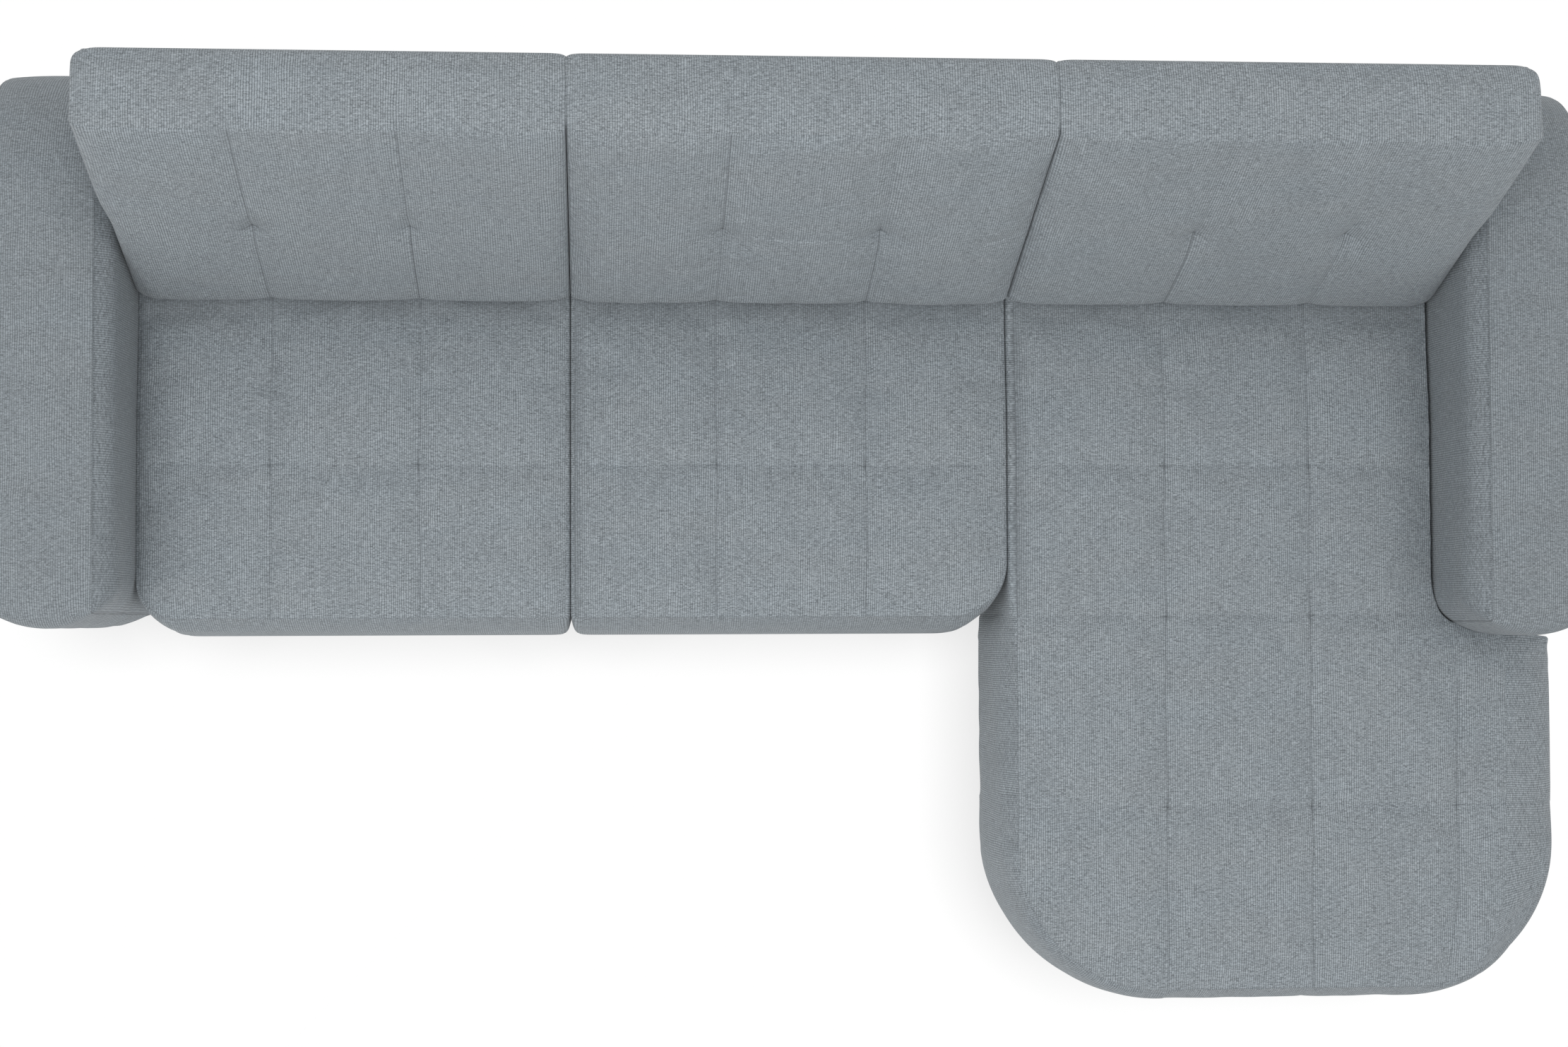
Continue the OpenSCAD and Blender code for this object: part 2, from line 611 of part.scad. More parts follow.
// A closed form of rings, each a list of points, with flat ends
function middle(ring) = [for (p = ring) 1] * ring / len(ring);
module ring_form(rings) {
    n = len(rings[0]);
    m = len(rings);
    walls = [for (r = [0:m - 2], k = [0:n - 1]) let (q = (k + 1) % n, a = r * n + k, b = r * n + q)
        each [[a, b, b + n], [a, b + n, a + n]]];
    ends = [for (k = [0:n - 1]) let (q = (k + 1) % n)
        each [[m * n, q, k], [m * n + 1, (m - 1) * n + k, (m - 1) * n + q]]];
    polyhedron(concat([for (ring = rings) each ring], [middle(rings[0]), middle(rings[m - 1])]),
        concat(walls, ends), convexity = 8);
}

module back_form(u) {
    ring_form([for (s = back_stations(u)) [for (p = BACK_PROFILE) let (
            q = drawn_in(p, back_core(p), s[1] + back_dent(u, s[0], p)),
            level = p[1] <= back_foot ? back_foot : q[1])
        [s[0] + overhang(u, s[0], level), q[0], level]]]);
}

// A board cut to a profile in Y and Z, standing across X from x over width
module profile_board(x, width) {
    translate([x, 0, 0]) rotate([90, 0, 90]) linear_extrude(width) children();
}

level_t = cover_t + 2;      // the cover's thickness on the leaning face, measured level
cavity_top = back_h - cover_top_t - 6;
cavity_bevel = 30;          // its top rear edge, under the roll
module back_cavity_profile(z0) {
    low = cavity_top - cavity_bevel;
    past = 40;
    polygon([[back_front(z0) + level_t, z0], [back_front(cavity_top) + level_t, cavity_top],
        [back_rear(cavity_top) - cavity_bevel, cavity_top], [back_rear(low), low],
        [back_rear(low) + past, low], [back_rear(z0) + past, z0]]);
}

module back_cover(u) {
    a = unit_left(u) + cover_t;
    width = unit_right(u) - unit_left(u) - 2 * cover_t;
    color(cloth) place() difference() {
        back_form(u);
        profile_board(a, width) back_cavity_profile(back_foot + lip_t);
        translate([a, base_rear, back_foot - 1]) cube([width, 150, 10]);
    }
}

function web_face(z) = back_front(z) + level_t + seat_clear + back_foam_t + web_t + 2 * seat_clear;
foam_foot = back_foot + lip_t + seat_clear;
module back_foam(u) {
    top = cavity_top - seat_clear;
    color(foam_colour) place()
        profile_board(unit_left(u) + frame_in, unit_right(u) - unit_left(u) - 2 * frame_in)
            polygon([[back_front(foam_foot) + level_t + seat_clear, foam_foot],
                [back_front(top) + level_t + seat_clear, top],
                [back_front(top) + level_t + seat_clear + back_foam_t, top],
                [back_front(foam_foot) + level_t + seat_clear + back_foam_t, foam_foot]]);
}

post_top = cavity_top - 6;
lean_angle = atan(back_lean / (back_h - back_foot));
module back_webbing(u) {
    bands = 4;
    low = foam_foot + 60;
    step = (post_top - 50 - low) / (bands - 1);
    color(web_colour) place() for (k = [0:bands - 1]) {
        z = low + k * step;
        translate([unit_left(u) + post_in, web_face(z) - web_t - seat_clear, z]) rotate([-lean_angle, 0, 0])
            translate([0, 0, -web_w / 2])
                cube([unit_right(u) - unit_left(u) - 2 * post_in, web_t, web_w]);
    }
}

function post_x(u) = [unit_left(u) + post_in, unit_right(u) - post_in - board_t];
module back_posts(u) {
    foot_in_y = base_rear + post_gap;
    color(plywood) place() difference() {
        for (x = post_x(u)) profile_board(x, board_t) polygon([
            [rail_y1, frame_z], [back_rear(frame_z) - 1, frame_z],
            [back_rear(post_top - cavity_bevel) - 1, post_top - cavity_bevel],
            [back_rear(post_top) - cavity_bevel, post_top],
            [web_face(post_top), post_top], [web_face(foam_foot + 2), foam_foot + 2],
            [foot_in_y, foam_foot + 2], [foot_in_y, rail_top - 12], [rail_y1, rail_top - 12]]);
        at_screws(u) cylinder(d = bolt_d, h = screw_l - board_t / 2, $fn = 48);
    }
}

// The screws through the rear rail into the posts' edges; Z points to the rear at the rail's middle
module at_screws(u) {
    for (x = post_x(u), z = screw_z)
        translate([x + board_t / 2, rail_y1 - board_t / 2, z]) rotate([-90, 0, 0]) children();
}

// Boards between the posts: at the top, behind the small of the back and above the seat
module back_rails(u) {
    x = unit_left(u) + post_in + board_t;
    width = unit_right(u) - unit_left(u) - 2 * (post_in + board_t);
    high = 80;
    top_z = post_top - high - 5;
    waist_z = tuft_h - high / 2;
    seat_z = foam_foot + 4;
    color(timber) place() for (p = [
            [web_face(post_top) + 2, top_z],
            [web_face(waist_z + high) + 6, waist_z],
            [back_rear(seat_z + high) - 1 - board_t, seat_z],
            [back_rear(frame_z + high) - 1 - board_t, frame_z]])
        translate([x, p[0], p[1]]) cube([width, board_t, high]);
}

// The outside back: cloth over thin board, closing the frame from behind
module rear_panel(u) {
    top = roll_z - 4;
    color(cloth) place() profile_board(unit_left(u) + panel_in, unit_right(u) - unit_left(u) - 2 * panel_in)
        polygon([[back_rear(underside_h) + seat_clear, underside_h],
            [back_rear(underside_h) + panel_t, underside_h],
            [back_rear(top - 5) + panel_t, top - 5], [back_rear(top) + panel_t - 4, top],
            [back_rear(top) + seat_clear, top]]);
}

// The profile of an arm as [y, z], drawn in from its seams
module arm_profile(front, inset, foot) {
    y0 = -front + inset;
    y1 = arm_rear - inset;
    z1 = arm_h - inset;
    rf = arm_front_r - inset;
    rr = arm_rear_r - inset;
    translate([y0, foot]) square([y1 - y0, z1 - rr - foot]);
    translate([y0, foot]) square([rf, z1 - rf - foot]);
    translate([y0 + rf, foot]) square([y1 - rr - y0 - rf, z1 - foot]);
    translate([y0 + rf, z1 - rf]) circle(rf, $fn = 96);
    translate([y1 - rr, z1 - rr]) circle(rr, $fn = 128);
}

front_swell = 20;   // the front of an arm's strip stands proud of its seams
top_swell = 7;      // so does the top
rear_swell = 3;     // and the rear, a little
swell_start = 30;   // the front begins to stand proud within this height
function arm_loop(front) = concat(
    [for (z = [underside_h, underside_h + swell_start, arm_h * 0.4, arm_h * 0.65])
        [-front + front_swell, z]],
    [for (a = [180:-22.5:90]) [-front + front_swell + arm_front_r + arm_front_r * cos(a),
        arm_h - arm_front_r + arm_front_r * sin(a)]],
    [for (t = [0.25:0.25:0.75])
        [blend(-front + front_swell + arm_front_r, arm_rear - arm_rear_r, t), arm_h]],
    [for (a = [90:-15:0]) [arm_rear - rear_swell - arm_rear_r + arm_rear_r * cos(a),
        arm_h - arm_rear_r + arm_rear_r * sin(a)]],
    [for (z = [arm_h * 0.45, arm_h * 0.3, underside_h]) [arm_rear - rear_swell, z]]);
function arm_core(front, p) = [min(arm_rear - 110, max(-front + 110, p[0])),
    min(arm_h - 110, max(underside_h + 50, p[1]))];

// Stations across an arm: how far out from the seam, and how far drawn in from the strip
ARM_SIDE = [[1, 75], [0.93, 38], [0.74, 17], [0.4, 6], [0.12, 1]];
function arm_stations() = let (seam = arm_t / 2 - arm_bulge, half = seam * 0.55) concat(
    [for (s = ARM_SIDE) [-seam - arm_bulge * s[0], s[1], 0]],
    [[-seam, 0, 0], [-half, 0, 0.72], [0, 0, 1], [half, 0, 0.72], [seam, 0, 0]],
    [for (k = [len(ARM_SIDE) - 1:-1:0]) [seam + arm_bulge * ARM_SIDE[k][0], ARM_SIDE[k][1], 0]]);
function arm_swell(front, p) = p[0] < -front + front_swell + 1 && p[1] > underside_h + 5 ? [-front_swell, 0]
    : p[0] > arm_rear - rear_swell - 1 ? [rear_swell, 0] : p[1] > arm_h - 1 ? [0, top_swell]
    : p[1] <= underside_h + 5 ? [0, 0]
    : [p[0] < 0 ? -front_swell : rear_swell, top_swell] * 0.75;
module arm_form(front) {
    ring_form([for (s = arm_stations()) [for (p = arm_loop(front)) let (
            q = drawn_in(p + arm_swell(front, p) * s[2], arm_core(front, p), s[1]),
            level = p[1] <= underside_h ? underside_h : q[1])
        [s[0], q[0], level]]]);
}

function arm_depth(side) = side < 0 ? left_arm_d : right_arm_d;
function arm_x(side) = side < 0 ? -left_seat_w - unit_gap / 2 - arm_t / 2 : arm_right_x + arm_t / 2;
module arm_place(side) {
    place() translate([arm_x(side), 0, 0]) children();
}

// Bores for the arm's bolts, through its inner side and inner board
module arm_bores(side) {
    for (y = bolt_y)
        translate([0, y, bolt_z]) rotate([0, -90 * side, 0])
            cylinder(d = bolt_d + bolt_clear, h = arm_t, $fn = 48);
}

arm_core_w = arm_t - 2 * arm_bulge - 2 * (cover_t - 5);
module arm_cover(side) {
    color(cloth) arm_place(side) difference() {
        arm_form(arm_depth(side));
        profile_board(-arm_core_w / 2, arm_core_w)
            arm_profile(arm_depth(side) - front_swell, cover_t, underside_h + lip_t);
        profile_board(-arm_core_w / 2 + lip_w, arm_core_w - 2 * lip_w)
            translate([-arm_depth(side) + front_swell + cover_t + lip_w, underside_h - 1])
                square([arm_depth(side) - front_swell + arm_rear - 2 * (cover_t + lip_w), lip_t + 2]);
        arm_bores(side);
    }
}

module arm_foam(side) {
    width = arm_core_w - 2 * seat_clear;
    depth = arm_depth(side) - front_swell;
    color(foam_colour) arm_place(side) difference() {
        profile_board(-width / 2, width) arm_profile(depth, frame_in, frame_z);
        profile_board(-width / 2 - 1, width + 2) arm_profile(depth, frame_in + arm_pad_t, frame_z - 1);
    }
}

module arm_frame(side) {
    width = arm_core_w - 2 * seat_clear;
    inset = frame_in + arm_pad_t + seat_clear;
    depth = arm_depth(side) - front_swell;
    inner = width - 2 * arm_board_t;
    y0 = -depth + inset;
    y1 = arm_rear - inset;
    color(plywood) arm_place(side) {
        difference() {
            for (x = [-width / 2, width / 2 - arm_board_t])
                profile_board(x, arm_board_t) arm_profile(depth, inset, frame_z);
            arm_bores(side);
        }
        translate([-inner / 2, y0, frame_z]) cube([inner, board_t, arm_h - arm_front_r - frame_z]);
        translate([-inner / 2, y1 - board_t, frame_z]) cube([inner, board_t, arm_h - arm_rear_r - frame_z]);
        translate([-inner / 2, y0 + arm_front_r, arm_h - inset - board_t])
            cube([inner, y1 - arm_rear_r - y0 - arm_front_r, board_t]);
        translate([-inner / 2, y0 + board_t, frame_z]) cube([inner, y1 - y0 - 2 * board_t, board_t]);
    }
}

// A bolt along Z with a head and washer below its start and a nut past its end
module through_bolt(length) {
    cylinder(d = bolt_d, h = length + nut_h, $fn = 48);
    translate([0, 0, -bolt_head_h - washer_t]) cylinder(d = bolt_d * 1.7, h = bolt_head_h, $fn = 48);
    translate([0, 0, -washer_t]) cylinder(d = washer_d, h = washer_t, $fn = 48);
    translate([0, 0, length]) cylinder(d = bolt_d * 1.7, h = nut_h, $fn = 48);
}

// Bolts between neighbouring units, from rail to rail
module unit_bolts() {
    color(steel) place() for (u = [LEFT, MIDDLE], y = bolt_y)
        translate([rail_x1(u) - board_t, y, bolt_z]) rotate([0, 90, 0])
            through_bolt(rail_x0(u + 1) + board_t - rail_x1(u) + board_t);
}

// Bolts from the outer units' rails to the inner boards of the arms
module arm_bolts() {
    color(steel) place() for (side = [-1, 1], y = bolt_y) {
        start = side < 0 ? rail_x0(LEFT) + board_t : rail_x1(CHAISE) - board_t;
        far = arm_x(side) - side * (arm_core_w / 2 - seat_clear - arm_board_t);
        translate([start, y, bolt_z]) rotate([0, 90 * side, 0]) through_bolt(abs(far - start));
    }
}

// Coach screws that hold the backs' posts to the rear rails
module back_screws() {
    color(steel) place() for (u = UNITS) at_screws(u) {
        translate([0, 0, -board_t / 2]) cylinder(d = bolt_d, h = screw_l, $fn = 48);
        translate([0, 0, -board_t / 2 - bolt_head_h]) cylinder(d = bolt_d * 1.7, h = bolt_head_h, $fn = 6);
    }
}

seat_cover(LEFT);  // left_seat_cover
seat_foam(LEFT);  // left_seat_foam
seat_felt(LEFT);  // left_seat_felt
seat_springs(LEFT);  // left_seat_springs
spring_clips(LEFT);  // left_spring_clips
side_rails(LEFT);  // left_side_rails
cross_rails(LEFT);  // left_cross_rails
corner_blocks(LEFT);  // left_corner_blocks
dust_cover(LEFT);  // left_dust_cover
seat_cover(MIDDLE);  // middle_seat_cover
seat_foam(MIDDLE);  // middle_seat_foam
seat_felt(MIDDLE);  // middle_seat_felt
seat_springs(MIDDLE);  // middle_seat_springs
spring_clips(MIDDLE);  // middle_spring_clips
side_rails(MIDDLE);  // middle_side_rails
cross_rails(MIDDLE);  // middle_cross_rails
corner_blocks(MIDDLE);  // middle_corner_blocks
dust_cover(MIDDLE);  // middle_dust_cover
seat_cover(CHAISE);  // chaise_seat_cover
seat_foam(CHAISE);  // chaise_seat_foam
seat_felt(CHAISE);  // chaise_seat_felt
seat_springs(CHAISE);  // chaise_seat_springs
spring_clips(CHAISE);  // chaise_spring_clips
side_rails(CHAISE);  // chaise_side_rails
cross_rails(CHAISE);  // chaise_cross_rails
corner_blocks(CHAISE);  // chaise_corner_blocks
dust_cover(CHAISE);  // chaise_dust_cover
back_cover(LEFT);  // left_back_cover
back_foam(LEFT);  // left_back_foam
back_webbing(LEFT);  // left_back_webbing
back_posts(LEFT);  // left_back_posts
back_rails(LEFT);  // left_back_rails
rear_panel(LEFT);  // left_rear_panel
back_cover(MIDDLE);  // middle_back_cover
back_foam(MIDDLE);  // middle_back_foam
back_webbing(MIDDLE);  // middle_back_webbing
back_posts(MIDDLE);  // middle_back_posts
back_rails(MIDDLE);  // middle_back_rails
rear_panel(MIDDLE);  // middle_rear_panel
back_cover(CHAISE);  // chaise_back_cover
back_foam(CHAISE);  // chaise_back_foam
back_webbing(CHAISE);  // chaise_back_webbing
back_posts(CHAISE);  // chaise_back_posts
back_rails(CHAISE);  // chaise_back_rails
rear_panel(CHAISE);  // chaise_rear_panel
arm_cover(-1);  // left_arm_cover
arm_foam(-1);  // left_arm_foam
arm_frame(-1);  // left_arm_frame
arm_cover(1);  // right_arm_cover
arm_foam(1);  // right_arm_foam
arm_frame(1);  // right_arm_frame
feet();
foot_glides();
foot_bolts();
foot_nuts();
unit_bolts();
arm_bolts();
back_screws();
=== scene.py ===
"""A lounge sofa: two seats and a chaise, three leaning backs and two rounded arms, in a ribbed cloth.

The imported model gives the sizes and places. The covers are modelled here as sewn and padded cloth in the
space of their solids, and every other piece gets its finish. Lengths are in metres.
"""

import json
import logging
import math
from dataclasses import dataclass, field
from enum import Enum
from itertools import pairwise
from typing import Iterable, Sequence

import bmesh
import bpy
from mathutils import Euler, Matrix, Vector

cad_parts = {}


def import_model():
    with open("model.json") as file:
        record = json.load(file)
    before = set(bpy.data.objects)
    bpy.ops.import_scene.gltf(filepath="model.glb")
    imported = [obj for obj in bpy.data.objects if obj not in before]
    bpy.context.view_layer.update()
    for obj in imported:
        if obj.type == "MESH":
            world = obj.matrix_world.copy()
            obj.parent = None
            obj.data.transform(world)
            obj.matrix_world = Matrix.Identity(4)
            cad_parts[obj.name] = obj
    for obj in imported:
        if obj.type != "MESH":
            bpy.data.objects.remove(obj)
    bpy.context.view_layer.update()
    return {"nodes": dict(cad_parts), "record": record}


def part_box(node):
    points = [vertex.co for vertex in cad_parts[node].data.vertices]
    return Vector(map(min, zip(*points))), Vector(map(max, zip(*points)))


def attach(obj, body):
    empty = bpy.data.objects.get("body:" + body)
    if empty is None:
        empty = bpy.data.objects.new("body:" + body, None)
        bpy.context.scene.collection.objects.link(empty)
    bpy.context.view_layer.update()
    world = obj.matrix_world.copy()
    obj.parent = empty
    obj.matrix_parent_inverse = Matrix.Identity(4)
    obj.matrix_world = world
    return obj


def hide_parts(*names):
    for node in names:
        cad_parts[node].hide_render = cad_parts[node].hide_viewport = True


log = logging.getLogger("sofa")
Profile = Sequence[tuple[float, float]]
Colour = tuple[float, float, float]

# Places closer together than this are the same
NEAR = 1e-5
# Widest distance between the rows of a cover, and between those of the large chaise's top
ROW = 0.013
WIDE_ROW = 0.0155


class Panel(Enum):
    """The panels that a cover is sewn from."""

    TOP = 0
    BOTTOM = 1
    FRONT = 2
    REAR = 3
    LEFT = 4
    RIGHT = 5


def smooth(value: float) -> float:
    """A smooth step from 0 to 1 as the value goes from 0 to 1."""
    t = min(1.0, max(0.0, value))
    return t * t * (3.0 - 2.0 * t)


def blend(a: float, b: float, share: float) -> float:
    """The value that lies a share of the way from a to b."""
    return a + (b - a) * share


def follow(profile: Profile, at: float) -> float:
    """Reads a rising profile of (place, value) points at a place.

    Args:
        profile: The points, in rising order of place.
        at: The place to read.

    Returns:
        The value there, straight between the points.
    """
    if at <= profile[0][0]:
        return profile[0][1]
    for (x0, y0), (x1, y1) in pairwise(profile):
        if at <= x1:
            return blend(y0, y1, (at - x0) / (x1 - x0))
    return profile[-1][1]


def cuts(start: float, end: float, seams: Iterable[float], step: float = ROW,
         beside: Sequence[float] = (0.002, 0.007)) -> list[float]:
    """Places for the rows of a panel, close beside its seams and even between them.

    Args:
        start: The first row.
        end: The last row.
        seams: Places of the seams between them.
        step: The widest distance between rows.
        beside: How far the close rows lie from a seam.

    Returns:
        The places in rising order.
    """
    wanted = {start, end, *(start + d for d in beside), *(end - d for d in beside)}
    for seam in seams:
        wanted.update(seam + sign * d for d in (0.0, *beside) for sign in (-1, 1))
    rising = sorted(w for w in wanted if start <= w <= end)
    kept = [rising[0]]
    for a, b in pairwise(rising):
        count = max(1, math.ceil((b - a) / step))
        kept.extend(blend(a, b, k / count) for k in range(1, count + 1))
    return kept


def rounded(s: float, t: float) -> tuple[float, float]:
    """Maps a corner square onto a quarter disc; its outer corner lands in the middle of the arc."""
    return s * math.sqrt(1.0 - t * t / 2.0), t * math.sqrt(1.0 - s * s / 2.0)


@dataclass(frozen=True)
class Corner:
    """A rounded corner between two straight edges.

    Attributes:
        x: Where the edge that closes it in the first direction lies.
        y: The same in the second direction.
        r: Its radius.
        way_x: The way that it points in the first direction, 1 or -1.
        way_y: The same in the second direction.
    """

    x: float
    y: float
    r: float
    way_x: int
    way_y: int

    def share(self, x: float, y: float) -> tuple[float, float]:
        """How far a point lies into the corner's square, from 0 to 1 each way, and negative outside it."""
        return 1.0 - (self.x - x) * self.way_x / self.r, 1.0 - (self.y - y) * self.way_y / self.r

    def holds(self, x: float, y: float) -> bool:
        """Whether a point lies in the corner's square."""
        return min(self.share(x, y)) > 0.0

    def arc(self, x: float, y: float) -> tuple[float, float]:
        """A point's place on the corner's quarter disc, from its middle, in radii and without its way."""
        s, t = self.share(x, y)
        return rounded(min(1.0, s), min(1.0, t))

    def round_off(self, x: float, y: float) -> tuple[float, float]:
        """Moves a point of the corner's square onto its quarter disc."""
        s, t = self.arc(x, y)
        return self.x - self.way_x * self.r * (1.0 - s), self.y - self.way_y * self.r * (1.0 - t)


@dataclass
class Cloth:
    """A closed block of cloth panels on a grid of rows.

    Attributes:
        xs: Places of the rows across.
        ys: Places of the rows in depth.
        zs: Places of the rows in height.
        notch: A plan corner that is left out, as (x, y) of its inner corner, where x and y are larger.
        turn: Place across past which the top is cut in one with the right side, or None.
        mesh: The block.
    """

    xs: list[float]
    ys: list[float]
    zs: list[float]
    notch: tuple[float, float] | None = None
    turn: float | None = None
    mesh: bmesh.types.BMesh = field(default_factory=bmesh.new)

    def block(self) -> None:
        """Makes the block, with its rows at the places given."""
        nx, ny, nz = len(self.xs) - 1, len(self.ys) - 1, len(self.zs) - 1
        bm = self.mesh
        bmesh.ops.create_grid(bm, x_segments=nx, y_segments=ny, size=0.5)
        for vert in bm.verts:
            vert.co.x = self.xs[round((vert.co.x + 0.5) * nx)]
            vert.co.y = self.ys[round((vert.co.y + 0.5) * ny)]
            vert.co.z = 0.0
        if self.notch:
            gone = [f for f in bm.faces if f.calc_center_median().x > self.notch[0]
                    and f.calc_center_median().y > self.notch[1]]
            bmesh.ops.delete(bm, geom=gone, context="FACES")
        made = bmesh.ops.extrude_face_region(bm, geom=bm.faces[:], use_keep_orig=True)
        upper = [g for g in made["geom"] if isinstance(g, bmesh.types.BMVert)]
        bmesh.ops.translate(bm, verts=upper, vec=(0.0, 0.0, 1.0))
        upright = [e for e in bm.edges if abs(e.verts[0].co.z - e.verts[1].co.z) > 0.5]
        bmesh.ops.subdivide_edges(bm, edges=upright, cuts=nz - 1, use_grid_fill=True)
        for vert in bm.verts:
            vert.co.z = self.zs[round(vert.co.z * nz)]
        bmesh.ops.recalc_face_normals(bm, faces=bm.faces)

    def settle(self) -> None:
        """Lays the block again in a fixed order, so that the simulation gives the same folds each run.

        The operators' own order changes from run to run, and the folds follow it.
        """
        loose, self.mesh = self.mesh, bmesh.new()
        rising = sorted(loose.verts, key=lambda vert: tuple(vert.co))
        rank = {vert: number for number, vert in enumerate(rising)}
        laid = [self.mesh.verts.new(vert.co) for vert in rising]
        rings = []
        for face in loose.faces:
            ring = [rank[vert] for vert in face.verts]
            first = ring.index(min(ring))
            rings.append(ring[first:] + ring[:first])
        for ring in sorted(rings):
            self.mesh.faces.new([laid[number] for number in ring])
        loose.free()
        self.mesh.normal_update()
        self.mesh.verts.index_update()

    def panel(self, face: bmesh.types.BMFace) -> Panel:
        """Tells which panel a face of the block belongs to.

        Args:
            face: The face, before the block is formed.

        Returns:
            The panel.
        """
        normal = face.normal
        if normal.z < -0.5:
            return Panel.BOTTOM
        if normal.z > 0.5:
            turned = self.turn is not None and face.calc_center_median().x > self.turn
            return Panel.RIGHT if turned else Panel.TOP
        if abs(normal.y) > 0.5:
            return Panel.REAR if normal.y > 0 else Panel.FRONT
        return Panel.RIGHT if normal.x > 0 else Panel.LEFT


@dataclass(frozen=True)
class Camera:
    """The camera, fitted to the seams and outlines in the photograph.

    Attributes:
        place: Where it stands.
        turn: How it is turned, in radians about x, y and z.
        lens: Focal length in millimetres.
        sensor: Width of the sensor in millimetres.
    """

    place: tuple[float, float, float] = (-0.3094, -0.1169, 4.4115)
    turn: tuple[float, float, float] = (0.0383, -0.0726, -0.0035)
    lens: float = 57.94
    sensor: float = 36.0

    def build(self) -> bpy.types.Object:
        """Makes the camera and gives it to the scene.

        Returns:
            The camera.
        """
        data = bpy.data.cameras.new("camera")
        data.lens = self.lens
        data.sensor_width = self.sensor
        data.sensor_fit = "HORIZONTAL"
        data.clip_end = 100.0
        camera = bpy.data.objects.new("camera", data)
        camera.location = self.place
        camera.rotation_euler = Euler(self.turn, "XYZ")
        bpy.context.scene.collection.objects.link(camera)
        bpy.context.scene.camera = camera
        return camera


